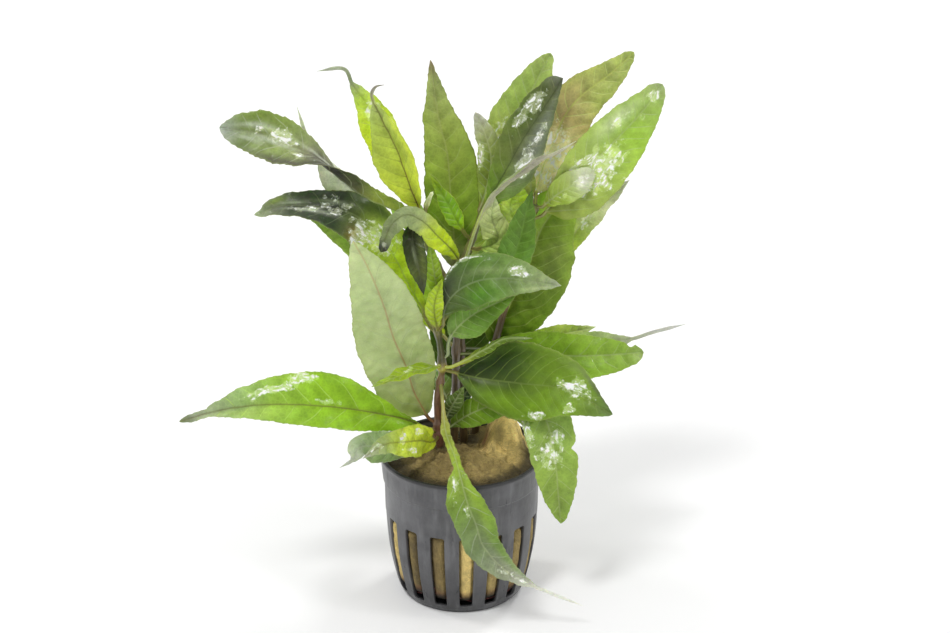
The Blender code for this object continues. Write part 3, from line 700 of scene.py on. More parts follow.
STEMS = {
    "stem_front": [(-7.2, 2.0), (-7.8, 1.0, 62), (-7.8, -1.0, 72), (-6.4, -2.0, 81), (-6.7, -3.0, 89),
                   (-7.9, -4.0, 98)],
    "stem_left": [(-2.6, 4.6), (-2.1, 3.4, 69), (-1.7, 1.0, 88), (-1.4, -0.5, 102), (-4.6, -2.0, 113),
                  (-9.2, -3.0, 123), (-13.5, -5.0, 137)],
    "stem_middle": [(0.8, 9.5), (0.2, 9.0, 66), (0.0, 8.0, 85), (0.4, 6.5, 104), (1.0, 6.0, 117),
                    (4.0, 7.0, 126), (7.0, 9.0, 133)],
    "stem_right": [(4.6, 14.5), (6.9, 13.0, 66), (10.9, 12.0, 84), (16.1, 10.0, 105), (21.2, 9.0, 125),
                   (24.4, 9.0, 136)],
}
STEM_RED = (0.24, 0.11, 0.07, 1.0)
STEM_TAN = (0.22, 0.14, 0.06, 1.0)
STEM_GREEN = (0.16, 0.20, 0.04, 1.0)
STEM_NODE = (0.46, 0.42, 0.07, 1.0)
STEM_SHADED = (0.055, 0.055, 0.02, 1.0)


def stem_points(name):
    (x, y), *rest = STEMS[name]
    return [(x, y, float(wool_height(x, y)) + GAP + 0.3)] + rest


STEM_LINES = {name: smooth_curve(stem_points(name), 200) for name in STEMS}


def stem_centre(name, z):
    """The stem's middle and its direction at height z."""
    line = STEM_LINES[name]
    here, above, below = (np.array([np.interp(h, line[:, 2], line[:, c]) for c in range(3)])
                          for h in (z, z + 1, z - 1))
    return here, unit(above - below)


def make_stem(name, joints, material):
    """A stem with a swelling and a ring at each height where leaves join it."""
    points = stem_points(name)
    foot = np.array(points[0]) - (points[1] - np.array(points[0])) * 0.25
    line = smooth_curve([tuple(foot)] + points, 170)
    share = np.linspace(0.0, 1.0, len(line))
    radius = STEM_RADIUS * (1.04 - 0.25 * share) * (1 - 0.5 * smoothstep(0.985, 1.0, share))
    for joint in joints:
        away = line[:, 2] - joint
        radius = radius + 0.32 * np.exp(-(away / 1.3) ** 2) - 0.10 * np.exp(-((away + 2.6) / 0.8) ** 2)
    verts, faces = tube(line, radius, STEM_SIDES)
    rows = np.repeat(np.arange(len(line)), STEM_SIDES)
    turn = np.tile(2 * pi * np.arange(STEM_SIDES) / STEM_SIDES, len(line))
    # four shallow ribs, as a square stem has
    centre = line[rows]
    verts = centre + (verts - centre) * (1 + 0.05 * np.cos(4 * turn))[:, None]
    place = np.stack([turn * STEM_RADIUS, rows * 0.4, np.zeros(len(rows))], axis=1)
    green = smoothstep(0.45, 1.0, share)[rows][:, None]
    tan = (0.5 + 0.5 * ripple(place, 9.0, len(name)))[:, None] * 0.5
    tint = np.array(STEM_RED) * (1 - green) + np.array(STEM_GREEN) * green
    tint = tint * (1 - tan) + np.array(STEM_TAN) * tan
    z = centre[:, 2:3]
    if name == "stem_front":
        # painted shade on the front stem where the leaves hang over it
        dark = smoothstep(84.0, 86.0, z) * smoothstep(98.0, 93.0, z)
        ring = np.exp(-((z - 82.6) / 1.1) ** 2)
        tint = tint + (np.array(STEM_SHADED) - tint) * dark * 0.8
        tint = tint + (np.array(STEM_NODE) - tint) * ring
    else:
        # painted shade on the lower parts of the other stems, inside the plant
        tint = tint + (np.array(STEM_SHADED) - tint) * smoothstep(104.0, 92.0, z) * 0.7
    return make_object(name + "_skin", verts, faces, material, [name],
                       {"tint": tint, "place": place})


# Leaf colours

BRIGHT = (0.22, 0.40, 0.02)
LIME = (0.36, 0.52, 0.03)
YELLOW = (0.50, 0.60, 0.05)
GREEN = (0.13, 0.26, 0.025)
OLIVE = (0.19, 0.25, 0.04)
DARK = (0.045, 0.09, 0.02)
NIGHT = (0.014, 0.02, 0.010)
PALE = (0.50, 0.58, 0.28)
GREY = (0.26, 0.31, 0.17)
SILVER = (0.52, 0.55, 0.44)
PINKISH = (0.44, 0.36, 0.15)
BROWN = (0.10, 0.055, 0.02)
NEAR_BLACK = (0.035, 0.034, 0.03)
RUST = (0.24, 0.10, 0.05)
PLUM = (0.11, 0.09, 0.08)
UNDER = (0.32, 0.40, 0.17)
VEIN_UNDER = (0.50, 0.56, 0.30)
EDGE = (0.32, 0.34, 0.12)
STALK = (0.27, 0.22, 0.07)
SHADED_STALK = (0.07, 0.08, 0.025)


# Leaves: their places and shapes are the same values as in the part's source

def both(value):
    """A value for the left and right side, given once where both are alike."""
    return value if isinstance(value, tuple) else (value, value)


def half_widths(t, leaf, k):
    """Half width of the left or right side along the leaf, at 0 for the stem to 1 for the tip."""
    half, widest, shape = both(leaf["half"])[k], both(leaf["widest"])[k], leaf["shape"]
    if isinstance(shape[0], tuple):
        shape = shape[k]
    blunt, tip = leaf["blunt"], leaf["tip"]
    end = 1.0 - leaf["tail"] + blunt
    near = np.clip((widest - t) / (widest - leaf["stalk"]), 0, 1)
    far = np.clip((t - widest) / (end - widest), 0, 1)
    blade = np.where(t < widest, half * np.cos(pi / 2 * near) ** shape[0],
                     half * np.maximum(np.cos(pi / 2 * far), 0.0) ** shape[1])
    if blunt:
        blade = blade * np.sqrt(np.clip(1 - (1 - (1 - t) / (0.9 * blunt)).clip(0, 1) ** 2, 0, 1))
    near = STALK_HALF_WIDTH + (leaf["winged"] - STALK_HALF_WIDTH) * smoothstep(0.08, 0.16, t)
    far = tip * np.clip((1.0 - t) * 7.5 / tip, 0.12 * STALK_HALF_WIDTH / tip, 1.0)
    if tip > STALK_HALF_WIDTH:
        far = tip * np.sqrt(np.clip((1.0 - t) * 24, 0.01, 1.0))
    return np.maximum(blade, np.where(t < widest, near, far))


LEAVES = {}
LENS = (1.0, 1.0)
USUAL = dict(
    shape=LENS, turn=0, fold=12, stalk=0.06, tail=0.0, blunt=0.0, winged=STALK_HALF_WIDTH,
    tip=STALK_HALF_WIDTH, towards=FRONT, under=UNDER, patches=(), glints=(), vein=(PALE, 0.3),
    rib=(PALE, 0.6), margin=(EDGE, 0.35), stalk_tint=STALK, tone=1.0, wet=0.12, net=1.0, drift=0.0,
    veins=9, wave=(0.5, 3.0, 0.0), quilt=0.16, teeth=0.28, nicks=())


def add_leaf(name, stem, height, half, widest, **rest):
    """One leaf, like the usual one in all that isn't said.

    Its stalk leaves the stem at this height, and its midrib runs through the points of the path.
    Places along it go from 0 at the stem to 1 at the tip, places across from -1 at the left margin
    to 1 at the right one. Half width, widest place and shape (how full the blade is before and after
    that place) are pairs where the two sides differ. The tint goes from place to place. A patch or
    glint is a place along and across, its reach in both directions, a patch's colour, and its strength.
    Glints are painted highlights, and some tints and patches are painted shade, painted glare and
    painted reflections, as said at each leaf.
    """
    LEAVES[name] = {**USUAL, "stem": stem, "height": height, "half": half, "widest": widest, **rest}


def add_back_leaf(number, *measures, **rest):
    add_leaf(f"leaf_back_{number}", *measures, fold=10, towards=SKY, **rest)


def describe_leaves():
    """Every leaf of the plant: where it grows, its shape and its look."""
    front, left, middle, right = STEMS

    # top of the left shoot
    add_leaf("leaf_twisted_left", left, 135, 7.8, (0.77, 0.76), shape=((0.5, 0.6), (5, 0.66)),
        turn=(130, 125, 70, 8, 0), fold=6, stalk=0.02, winged=1.2,
        path=[(-21, -6, 140.7), (-29, -3, 143.4), (-37, 0, 148.4), (-45, 3, 153.8), (-52, 5, 156.9),
            (-65, 8, 161.2), (-78, 10, 162.4)],
        tint={0: (0.22, 0.3, 0.03), 0.3: (0.28, 0.3, 0.13), 0.5: (0.4, 0.43, 0.22), 0.7: (0.26, 0.32, 0.1),
            0.9: (0.2, 0.25, 0.09), 1: (0.4, 0.42, 0.38)},
        # the near-black stops of the lower face at the twist are painted shade
        under={0: (0.26, 0.36, 0.03), 0.22: (0.26, 0.32, 0.05), 0.32: (0.09, 0.1, 0.035),
            0.42: (0.03, 0.03, 0.022), 0.5: (0.05, 0.045, 0.035), 1: (0.24, 0.28, 0.12)},
        # the SILVER and PALE patches are painted reflections in long pale streaks; the PLUM and NEAR_BLACK
        # ones at the twist and the lower margin are painted shade
        patches=[(0.83, 0.35, 0.09, 0.12, SILVER, 0.8), (0.76, -0.15, 0.12, 0.1, SILVER, 0.8),
            (0.7, 0.3, 0.1, 0.08, PALE, 0.8), (0.86, -0.35, 0.06, 0.08, SILVER, 0.7),
            (0.8, 0.8, 0.12, 0.25, OLIVE, 0.8), (0.66, -0.9, 0.2, 0.2, PLUM, 0.9),
            (0.52, 0.1, 0.1, 0.9, PLUM, 0.85), (0.47, -0.6, 0.12, 0.9, NEAR_BLACK, 0.85),
            (0.5, 0.25, 0.1, 0.1, SILVER, 0.9), (0.45, -0.35, 0.08, 0.1, SILVER, 0.7),
            (0.36, -0.8, 0.12, 0.4, NEAR_BLACK, 0.8)],
        glints=[(0.7, 0.2, 0.07, 0.4, 0.9), (0.6, -0.4, 0.08, 0.3, 0.7), (0.82, 0.1, 0.1, 0.5, 0.5)],
        vein=(SILVER, 0.35), rib=(GREY, 0.4), wave=(0.7, 2.2, 0.1), teeth=0.5)
    add_leaf("leaf_pale_left", left, 125, (6.6, 2.2), 0.55, shape=(1, 0.8), turn=10, stalk=0.1, tail=0.27,
        path=[(-23, 9, 130), (-33, 12, 137), (-41, 14, 145), (-47, 15, 152), (-50, 13, 158),
            (-53, 14, 168)],
        tint={0: (0.06, 0.06, 0.03), 0.3: (0.14, 0.14, 0.08), 0.42: (0.62, 0.66, 0.5),
            0.75: (0.66, 0.7, 0.54), 1: (0.66, 0.72, 0.46)}, vein=(SILVER, 0.3), rib=(GREY, 0.5), wet=0.2)
    add_leaf("leaf_hanging_dark", left, 134, 3.6, 0.4, shape=(0.35, 0.9), fold=15,
        path=[(-15.5, -9, 134), (-15.2, -11, 130), (-13.7, -12.5, 123), (-12, -14, 114)],
        # the near-black tint is painted shade, and the GREY patch is a painted highlight line
        tint={0: (0.035, 0.04, 0.015), 0.45: (0.035, 0.045, 0.012), 0.7: (0.08, 0.1, 0.02),
            0.9: (0.05, 0.06, 0.03), 1: NIGHT},
        patches=[(0.5, -0.6, 0.3, 0.3, (0.12, 0.15, 0.03), 0.7), (0.45, 0.1, 0.12, 0.12, GREY, 0.8)],
        rib=((0.1, 0.12, 0.06), 0.6), vein=(NIGHT, 0.2), margin=(NIGHT, 0.5), wet=0.2)
    add_leaf("leaf_yellow_front", left, 136.6, (8.4, 6.8), 0.45, shape=(0.85, 1.1), turn=(-25, -30, -20),
        fold=26, stalk=0.08, tail=0.14,
        path=[(-16.5, -8, 150), (-20.5, -6, 161), (-24.5, -4, 169), (-27.6, -2, 175.4),
            (-28.2, -1.5, 178.2), (-26.9, -1, 180.2), (-24.4, 0, 180.5)],
        tint={0: (0.42, 0.48, 0.03), 0.3: (0.47, 0.56, 0.04), 0.7: (0.38, 0.47, 0.09),
            0.85: (0.4, 0.46, 0.18), 0.92: (0.4, 0.4, 0.32), 1: (0.28, 0.28, 0.24)}, under=YELLOW,
        patches=[(0.45, 0.9, 0.3, 0.25, (0.58, 0.68, 0.04), 0.7),
            (0.45, -0.5, 0.3, 0.3, (0.38, 0.46, 0.06), 0.5)],
        rib=(BROWN, 0.95), vein=(OLIVE, 0.25), margin=((0.34, 0.38, 0.08), 0.5), wet=0.08, quilt=0.1)
    add_leaf("leaf_yellow_back", left, 136.6, (6.1, 5.9), 0.48, shape=(0.9, 1.1), fold=18, stalk=0.08,
        tail=0.2,
        path=[(-20.8, -1, 149), (-24.4, 1, 161), (-29.4, 3, 172), (-34.5, 4, 179.2), (-37, 5, 184),
            (-46, 6, 183)],
        tint={0: YELLOW, 0.3: (0.7, 0.88, 0.08), 0.5: (0.66, 0.84, 0.05), 0.68: (0.48, 0.64, 0.08),
            0.78: GREY, 1: SILVER},
        glints=[(0.58, 0.1, 0.08, 0.8, 1), (0.35, 0.9, 0.25, 0.3, 0.7)],
        rib=(OLIVE, 0.4), vein=(PALE, 0.25), wet=0.2)
    add_leaf("leaf_bud", left, 136.6, 0.9, 0.5, fold=10,
        path=[(-11, -3, 141), (-9, -2, 145)],
        tint={0: (0.74, 0.8, 0.24), 1: (0.8, 0.85, 0.55)})

    # node of the front shoot
    add_leaf("leaf_arching_left", front, 97, (9, 7.6), 0.52, shape=((2, 1.3), (1, 1.15)),
        turn=(0, 0, 10, 35, 40), fold=10, stalk=0.05, blunt=0.08,
        path=[(-12, -3, 103), (-16, -2, 110), (-21, 0, 120), (-26, 1, 128), (-34, 2, 135), (-43, 4, 137),
            (-52, 6, 137), (-61, 7, 136.1), (-67.5, 8, 132.8)],
        # the near-black stops from 0.56 to 0.84 are painted shadow of the leaves above
        tint={0: (0.52, 0.72, 0.03), 0.32: (0.5, 0.68, 0.03), 0.46: (0.42, 0.56, 0.08),
            0.56: (0.1, 0.14, 0.03), 0.64: (0.03, 0.04, 0.02), 0.84: (0.07, 0.08, 0.05),
            0.92: (0.18, 0.2, 0.12), 1: (0.3, 0.35, 0.2)},
        # the near-black patch is painted shade; the SILVER and GREY patches are painted reflections
        patches=[(0.54, -0.7, 0.04, 0.4, RUST, 0.5), (0.5, 0.8, 0.1, 0.25, (0.03, 0.05, 0.015), 0.8),
            (0.76, -0.35, 0.1, 0.12, SILVER, 0.6), (0.84, 0.2, 0.06, 0.12, GREY, 0.8),
            (0.68, 0.35, 0.07, 0.1, GREY, 0.6), (0.9, 0.6, 0.04, 0.3, OLIVE, 0.8)],
        glints=[(0.42, -0.1, 0.08, 1, 1), (0.52, -0.5, 0.05, 0.5, 1), (0.66, 0.1, 0.09, 0.8, 0.75),
            (0.8, -0.3, 0.08, 0.4, 0.6)],
        vein=((0.3, 0.38, 0.16), 0.25), rib=((0.3, 0.38, 0.16), 0.4), wet=0.15, wave=(0.8, 2.6, 0.3))
    add_leaf("leaf_under_arch", front, 95, 5.6, 0.6, turn=(10, 20),
        path=[(-18, 3, 110), (-29, 6, 119), (-41, 8, 128), (-52, 10, 133)],
        tint={0: (0.46, 0.64, 0.05), 0.5: (0.5, 0.66, 0.14), 0.8: (0.44, 0.56, 0.14), 1: OLIVE},
        vein=(LIME, 0.2), wet=0.2)
    add_leaf("leaf_drooping_dark", front, 97, (8.6, 8), (0.48, 0.42), shape=((2.4, 0.9), (1.1, 1)), fold=6,
        path=[(-5, -8, 107), (-1, -11, 114), (6, -14, 119), (16, -17, 121), (27, -21, 121), (32, -23, 121)],
        # the pale grey stops at the tip are painted glare
        tint={0: (0.12, 0.2, 0.03), 0.3: (0.11, 0.17, 0.04), 0.5: (0.1, 0.2, 0.025),
            0.7: (0.17, 0.26, 0.07), 0.9: (0.28, 0.34, 0.16), 1: (0.36, 0.4, 0.28)},
        patches=[(0.22, -0.6, 0.22, 0.5, (0.03, 0.035, 0.018), 0.7),
            (0.22, -0.6, 0.2, 0.5, (0.05, 0.06, 0.035), 0.85),
            (0.48, 0.6, 0.16, 0.35, (0.09, 0.22, 0.02), 0.8), (0.55, -0.35, 0.1, 0.15, PALE, 0.3),
            (0.2, 0.5, 0.12, 0.4, (0.07, 0.1, 0.04), 0.6), (0.85, 0.7, 0.1, 0.2, PALE, 0.5)],
        glints=[(0.75, -0.4, 0.1, 0.4, 1), (0.42, -0.92, 0.22, 0.12, 0.8), (0.15, -0.2, 0.06, 0.5, 0.5)],
        vein=((0.3, 0.37, 0.2), 0.35), rib=((0.34, 0.42, 0.22), 0.5), wet=0.1, wave=(0.5, 2, 0))
    add_leaf("leaf_young_lower", front, 97, 3, 0.5,
        path=[(-8.7, -9.5, 108), (-6, -11, 118.5)],
        tint={0: (0.27, 0.36, 0.04), 0.4: (0.42, 0.56, 0.03), 1: (0.36, 0.5, 0.03)},
        rib=((0.13, 0.15, 0.02), 0.8))
    add_leaf("leaf_young_upper", left, 108, 2.8, 0.5,
        path=[(-7.5, -6, 113), (-9, -7.5, 121), (-10, -8, 130)],
        tint={0: (0.56, 0.76, 0.03), 0.4: (0.34, 0.5, 0.03), 1: (0.24, 0.38, 0.03)}, rib=(PALE, 0.4))
    add_leaf("leaf_under_droop", front, 86, (6, 6.8), (0.55, 0.5), fold=10, stalk=0.22,
        path=[(-4, -4, 93), (-1, -6, 99), (5, -8, 105), (11, -10, 109), (18, -11, 113)],
        tint={0: (0.24, 0.3, 0.13), 0.25: (0.2, 0.3, 0.08), 0.45: (0.16, 0.3, 0.04), 1: (0.16, 0.3, 0.03)},
        vein=(PALE, 0.2), wet=0.1, stalk_tint=GREY)

    # middle shoot
    add_leaf("leaf_hooked", middle, 117, (4.2, 3), 0.5, shape=(0.7, 0.6), fold=6, blunt=0.03,
        path=[(-3.5, -4, 126), (-7.5, -8, 132), (-12.5, -11, 138.5), (-17.5, -13.5, 141.5), (-22, -16, 139),
            (-25.5, -18, 130.5)],
        tint={0: (0.52, 0.68, 0.02), 0.4: (0.54, 0.7, 0.02), 0.5: (0.44, 0.54, 0.07),
            0.58: (0.34, 0.41, 0.15), 0.7: (0.28, 0.34, 0.15), 0.9: (0.19, 0.23, 0.1),
            0.96: (0.06, 0.06, 0.05), 1: NIGHT},
        glints=[(0.95, 0, 0.03, 0.8, 0.9), (0.75, -0.5, 0.1, 0.3, 0.4)],
        rib=((0.1, 0.13, 0.02), 0.9), vein=(PALE, 0.2), wet=0.2)
    add_leaf("leaf_tall_left", middle, 112, (8.3, 9.5), 0.42, shape=((0.5, 1.45), (0.5, 1.4)), fold=10,
        stalk=0.02, blunt=0.05,
        path=[(-2.2, 9, 123), (-3.4, 12, 137), (-4.4, 15, 151), (-7.2, 17, 163), (-9, 19, 175),
            (-9.9, 20, 182)],
        tint={0: (0.16, 0.14, 0.08), 0.1: (0.26, 0.28, 0.1), 0.22: (0.22, 0.32, 0.03),
            0.3: (0.22, 0.33, 0.03), 0.5: (0.27, 0.35, 0.05), 0.7: (0.33, 0.39, 0.09),
            0.9: (0.33, 0.37, 0.13), 1: (0.22, 0.15, 0.1)},
        vein=((0.46, 0.52, 0.18), 0.3), rib=((0.5, 0.56, 0.22), 0.4), wet=0.05, margin=(BROWN, 0.5))
    add_leaf("leaf_small_bright", middle, 125, 2.9, 0.45, stalk=0.12,
        path=[(-1, 3, 132), (-5, 3, 140), (-10, 4, 148)],
        tint={0: (0.56, 0.76, 0.02), 0.3: (0.29, 0.53, 0.02), 0.6: (0.18, 0.36, 0.02),
            1: (0.28, 0.38, 0.02)}, rib=(GREEN, 0.5), margin=(YELLOW, 0.8))
    add_leaf("leaf_small_pale", middle, 132, 4.2, 0.5, blunt=0.1,
        path=[(8, 9, 141), (9.7, 9, 152), (7.7, 11, 160), (4.6, 14.5, 166)],
        tint={0: (0.2, 0.32, 0.02), 0.3: (0.3, 0.38, 0.07), 0.6: (0.26, 0.34, 0.06),
            0.8: (0.33, 0.36, 0.16), 1: (0.4, 0.39, 0.34)},
        glints=[(0.6, -0.75, 0.22, 0.35, 0.95), (0.35, 0.2, 0.12, 0.5, 0.5)], vein=(SILVER, 0.3), wet=0.25)
    add_leaf("leaf_dark_glossy", middle, 132, (7.6, 8.8), (0.62, 0.4), shape=((1, 0.5), (0.9, 1.3)),
        stalk=0.08, blunt=0.03,
        path=[(10, 5, 141), (15, 6, 150), (20, 8, 159), (26, 10, 168), (32.8, 12, 178.6)],
        tint={0: (0.17, 0.3, 0.02), 0.25: (0.16, 0.26, 0.03), 0.45: (0.14, 0.18, 0.04),
            0.7: (0.1, 0.14, 0.03), 0.9: (0.1, 0.12, 0.04), 1: (0.16, 0.17, 0.12)},
        # the grey patch over the right half is painted reflection
        patches=[(0.58, 0.55, 0.28, 0.45, (0.21, 0.22, 0.19), 0.85)],
        glints=[(0.6, 0.55, 0.2, 0.35, 0.8), (0.4, 0.5, 0.1, 0.35, 0.85), (0.8, -0.5, 0.15, 0.5, 0.8),
            (0.62, -0.6, 0.14, 0.3, 0.6)],
        vein=((0.3, 0.34, 0.14), 0.4), rib=((0.05, 0.07, 0.02), 0.7), wet=0.1)
    add_leaf("leaf_strap_purple", middle, 118, 1.5, 0.6, turn=(40, 60, 40), stalk=0.15,
        path=[(4, 0, 129), (6, -1, 135), (11, -2, 144), (19, -1, 151), (25, 0, 155), (31, 2, 157),
            (37, 4, 160)],
        tint={0: (0.46, 0.54, 0.14), 0.3: (0.5, 0.54, 0.22), 0.42: (0.42, 0.42, 0.26),
            0.7: (0.36, 0.34, 0.25), 1: (0.52, 0.5, 0.36)},
        vein=(SILVER, 0.25), rib=(SILVER, 0.5), stalk_tint=(0.46, 0.52, 0.16), wet=0.2)
    add_leaf("leaf_top_middle", middle, 132, (9.6, 7.6), 0.45, shape=((0.9, 0.9), (0.9, 0.8)), fold=10,
        blunt=0.05,
        path=[(11.5, 10, 139), (14, 15, 149), (18, 17, 161), (23, 19, 172), (29, 21, 184)],
        tint={0: OLIVE, 0.3: (0.42, 0.46, 0.09), 0.5: (0.4, 0.49, 0.12), 0.7: (0.38, 0.49, 0.12),
            1: (0.34, 0.42, 0.12)},
        patches=[(0.35, -0.7, 0.15, 0.4, (0.58, 0.56, 0.12), 0.6), (0.42, -0.2, 0.1, 0.4, PINKISH, 0.5)],
        glints=[(0.5, -0.5, 0.14, 0.35, 0.85), (0.33, -0.6, 0.08, 0.35, 0.85)], vein=(PALE, 0.5))

    # right shoot
    add_leaf("leaf_top_right", right, 135.5, (7.2, 9.4), (0.5, 0.4), shape=((1.2, 0.9), (0.5, 0.95)),
        blunt=0.06,
        path=[(26, 14, 145), (30, 16, 155), (34, 18, 164), (39, 19, 170), (48, 20, 177), (56, 22, 184)],
        tint={0: (0.6, 0.62, 0.24), 0.12: (0.82, 0.76, 0.3), 0.3: (0.84, 0.74, 0.36),
            0.5: (0.48, 0.38, 0.16), 0.7: (0.38, 0.42, 0.11), 1: (0.34, 0.4, 0.11)},
        patches=[(0.55, -0.5, 0.2, 0.5, (0.44, 0.33, 0.16), 0.6), (0.15, 0.9, 0.12, 0.3, RUST, 0.8)],
        glints=[(0.34, 0.1, 0.12, 0.9, 1), (0.2, 0, 0.12, 1.2, 1), (0.08, 0, 0.08, 1.2, 1),
            (0.5, -0.8, 0.1, 0.3, 0.5)],
        vein=((0.58, 0.64, 0.22), 0.6), rib=((0.56, 0.64, 0.14), 0.85), wet=0.08, drift=7,
        margin=(RUST, 0.3))
    add_leaf("leaf_right_glossy", right, 131, (9.4, 12.2), (0.52, 0.34), shape=((1, 0.85), (0.42, 1)),
        turn=(12, 12, 6), stalk=0.08, blunt=0.06,
        path=[(34, 7, 142), (45, 9, 153), (53, 11, 161), (59.5, 13, 168), (65, 15, 175.5)],
        tint={0: (0.32, 0.38, 0.06), 0.3: (0.34, 0.42, 0.09), 0.5: (0.37, 0.5, 0.09),
            0.7: (0.34, 0.52, 0.06), 0.9: (0.34, 0.46, 0.11), 1: (0.34, 0.4, 0.18)},
        # the pale patch is painted glare
        patches=[(0.7, -0.6, 0.14, 0.35, (0.64, 0.68, 0.46), 0.6)],
        glints=[(0.92, -0.1, 0.05, 0.6, 1), (0.47, 0.3, 0.22, 0.8, 0.82), (0.72, -0.5, 0.1, 0.35, 0.7),
            (0.35, -0.2, 0.12, 0.5, 0.8)], vein=(PALE, 0.35), rib=(PALE, 0.5), wet=0.3, net=0.6)
    add_leaf("leaf_right_behind", right, 73, (6, 4.2), 0.74, shape=((1, 1), (1.8, 1)), turn=10, stalk=0.4,
        path=[(23, 19, 94), (33, 22, 112.4), (41.8, 22, 126.4), (55.4, 20, 140.4)],
        # the pale stop at 0.85 is a painted highlight band
        tint={0: GREEN, 0.5: (0.44, 0.58, 0.06), 0.7: (0.46, 0.56, 0.12), 0.85: (0.68, 0.72, 0.42),
            1: (0.46, 0.44, 0.38)},
        glints=[(0.78, 0, 0.1, 0.8, 0.85), (0.55, 0.4, 0.1, 0.4, 0.5)], wet=0.25)
    add_leaf("leaf_right_pale", right, 135.5, 4.8, 0.6, shape=(1, 0.8), blunt=0.08,
        path=[(31, 5, 141), (37, 5, 145), (43, 6, 149)],
        # the pale stops towards the tip and the whitish patch are painted glare
        tint={0: (0.3, 0.4, 0.05), 0.45: (0.34, 0.46, 0.07), 0.65: (0.42, 0.53, 0.16),
            0.85: (0.6, 0.66, 0.42)},
        patches=[(0.8, 0.3, 0.12, 0.5, (0.74, 0.76, 0.64), 0.7)],
        glints=[(0.8, 0, 0.16, 0.8, 0.9), (0.45, 0.4, 0.15, 0.4, 0.6)],
        margin=((0.4, 0.5, 0.12), 0.5), vein=(PALE, 0.15), wet=0.2, net=0.2)
    add_leaf("leaf_broad_olive", right, 80, (10, 14.3), 0.5, shape=((0.45, 0.4), (0.38, 0.75)),
        turn=(10, 10, 0),
        path=[(14, 13.6, 93), (21, 15, 108), (27, 17, 125), (33, 19, 132), (41, 20, 137)],
        tint={0: (0.1, 0.17, 0.02), 0.2: (0.17, 0.26, 0.02), 0.5: (0.22, 0.32, 0.035),
            0.7: (0.3, 0.44, 0.05), 1: (0.34, 0.48, 0.07)},
        patches=[(0.6, 0.5, 0.2, 0.5, (0.16, 0.19, 0.05), 0.7),
            (0.8, -0.5, 0.12, 0.4, (0.34, 0.54, 0.05), 0.7)],
        vein=((0.44, 0.54, 0.15), 0.5), rib=((0.48, 0.58, 0.2), 0.75), wet=0.03, veins=10,
        wave=(0.8, 2.4, 0))
    add_leaf("leaf_pointed_green", right, 104, 5.8, 0.48, fold=14, stalk=0.1,
        path=[(16, 1, 117), (19, 0, 127), (21, 1, 136), (23, 2, 144)],
        tint={0: (0.07, 0.14, 0.02), 0.3: (0.11, 0.22, 0.03), 0.5: (0.15, 0.29, 0.04),
            0.7: (0.12, 0.22, 0.03), 1: (0.08, 0.16, 0.02)},
        vein=((0.24, 0.42, 0.08), 0.4), rib=((0.26, 0.44, 0.08), 0.4), wet=0.1)
    add_leaf("leaf_small_yellow", right, 124, 3, 0.5,
        path=[(16, 5, 138), (20, 6, 146)],
        tint={0: (0.66, 0.84, 0.2), 1: (0.56, 0.8, 0.06)},
        glints=[(0.5, 0, 0.12, 0.6, 0.8)], rib=(LIME, 0.4), wet=0.15)
    add_leaf("leaf_pale_textured", middle, 122, 5, 0.5, fold=10,
        path=[(12, 3, 126), (10, 3, 134), (11, 4, 141)],
        tint={0: (0.4, 0.58, 0.1), 0.3: (0.42, 0.55, 0.13), 0.6: (0.5, 0.58, 0.21), 1: PALE},
        glints=[(0.6, 0, 0.3, 0.9, 0.4)], rib=(DARK, 0.5), vein=(OLIVE, 0.25), quilt=0.4)

    # lower pair of the front shoot and the leaves to its right
    add_leaf("leaf_big_right", front, 82, (13.8, 12.2), (0.44, 0.48), shape=((0.8, 1.25), (0.8, 1)),
        fold=8, stalk=0.05, blunt=0.02,
        path=[(6, -7, 81), (19, -13, 82), (34, -20, 83), (49, -27, 77.5)],
        # the near-black stops by the stalk and the near-black patch on the upper side are painted shadow
        tint={0.12: (0.03, 0.045, 0.008), 0.3: (0.065, 0.11, 0.01), 0.45: (0.11, 0.19, 0.015),
            0.6: (0.17, 0.28, 0.02), 0.8: (0.19, 0.3, 0.03), 1: (0.12, 0.17, 0.06)},
        patches=[(0.35, 0.6, 0.28, 0.35, (0.17, 0.3, 0.015), 0.8),
            (0.28, -0.5, 0.25, 0.5, (0.022, 0.04, 0.01), 0.85), (0.85, -0.9, 0.15, 0.15, PLUM, 0.6),
            (0.2, 0.1, 0.1, 0.08, GREY, 0.5)],
        glints=[(0.79, -0.25, 0.09, 0.5, 1), (0.56, 0.85, 0.09, 0.2, 1), (0.78, 0.7, 0.05, 0.25, 1),
            (0.68, -0.1, 0.06, 0.3, 0.5)],
        vein=((0.3, 0.42, 0.08), 0.28), rib=((0.28, 0.38, 0.1), 0.4), wet=0.04, veins=11,
        wave=(0.6, 2.2, 0.2), quilt=0.06, net=0.6)
    add_leaf("leaf_strip_right", front, 83, 1.35, 0.5, shape=(0.8, 0.8), turn=160, fold=0, stalk=0.1,
        path=[(1, -8, 87.5), (8, -11, 93), (14, -14, 98), (23, -17, 100)],
        tint={0: BRIGHT, 0.5: LIME, 1: GREY},
        under={0: (0.3, 0.36, 0.04), 0.2: (0.16, 0.24, 0.02), 0.8: (0.11, 0.18, 0.02),
            1: (0.16, 0.22, 0.08)}, wet=0.2, margin=(LIME, 0.4), stalk_tint=(0.45, 0.48, 0.06))
    add_leaf("leaf_edge_on", front, 84, 4, 0.42, turn=(65, 60), fold=8,
        path=[(-10, -9, 86), (-18, -14, 86), (-25, -18, 85), (-29, -20, 84)],
        tint={0: (0.34, 0.4, 0.04), 0.2: (0.26, 0.38, 0.02), 0.6: (0.32, 0.44, 0.03),
            1: (0.26, 0.38, 0.05)}, under=(0.34, 0.44, 0.06),
        glints=[(0.5, 0.5, 0.2, 0.6, 0.7)], wet=0.25, margin=(YELLOW, 0.6), stalk_tint=(0.45, 0.48, 0.06))
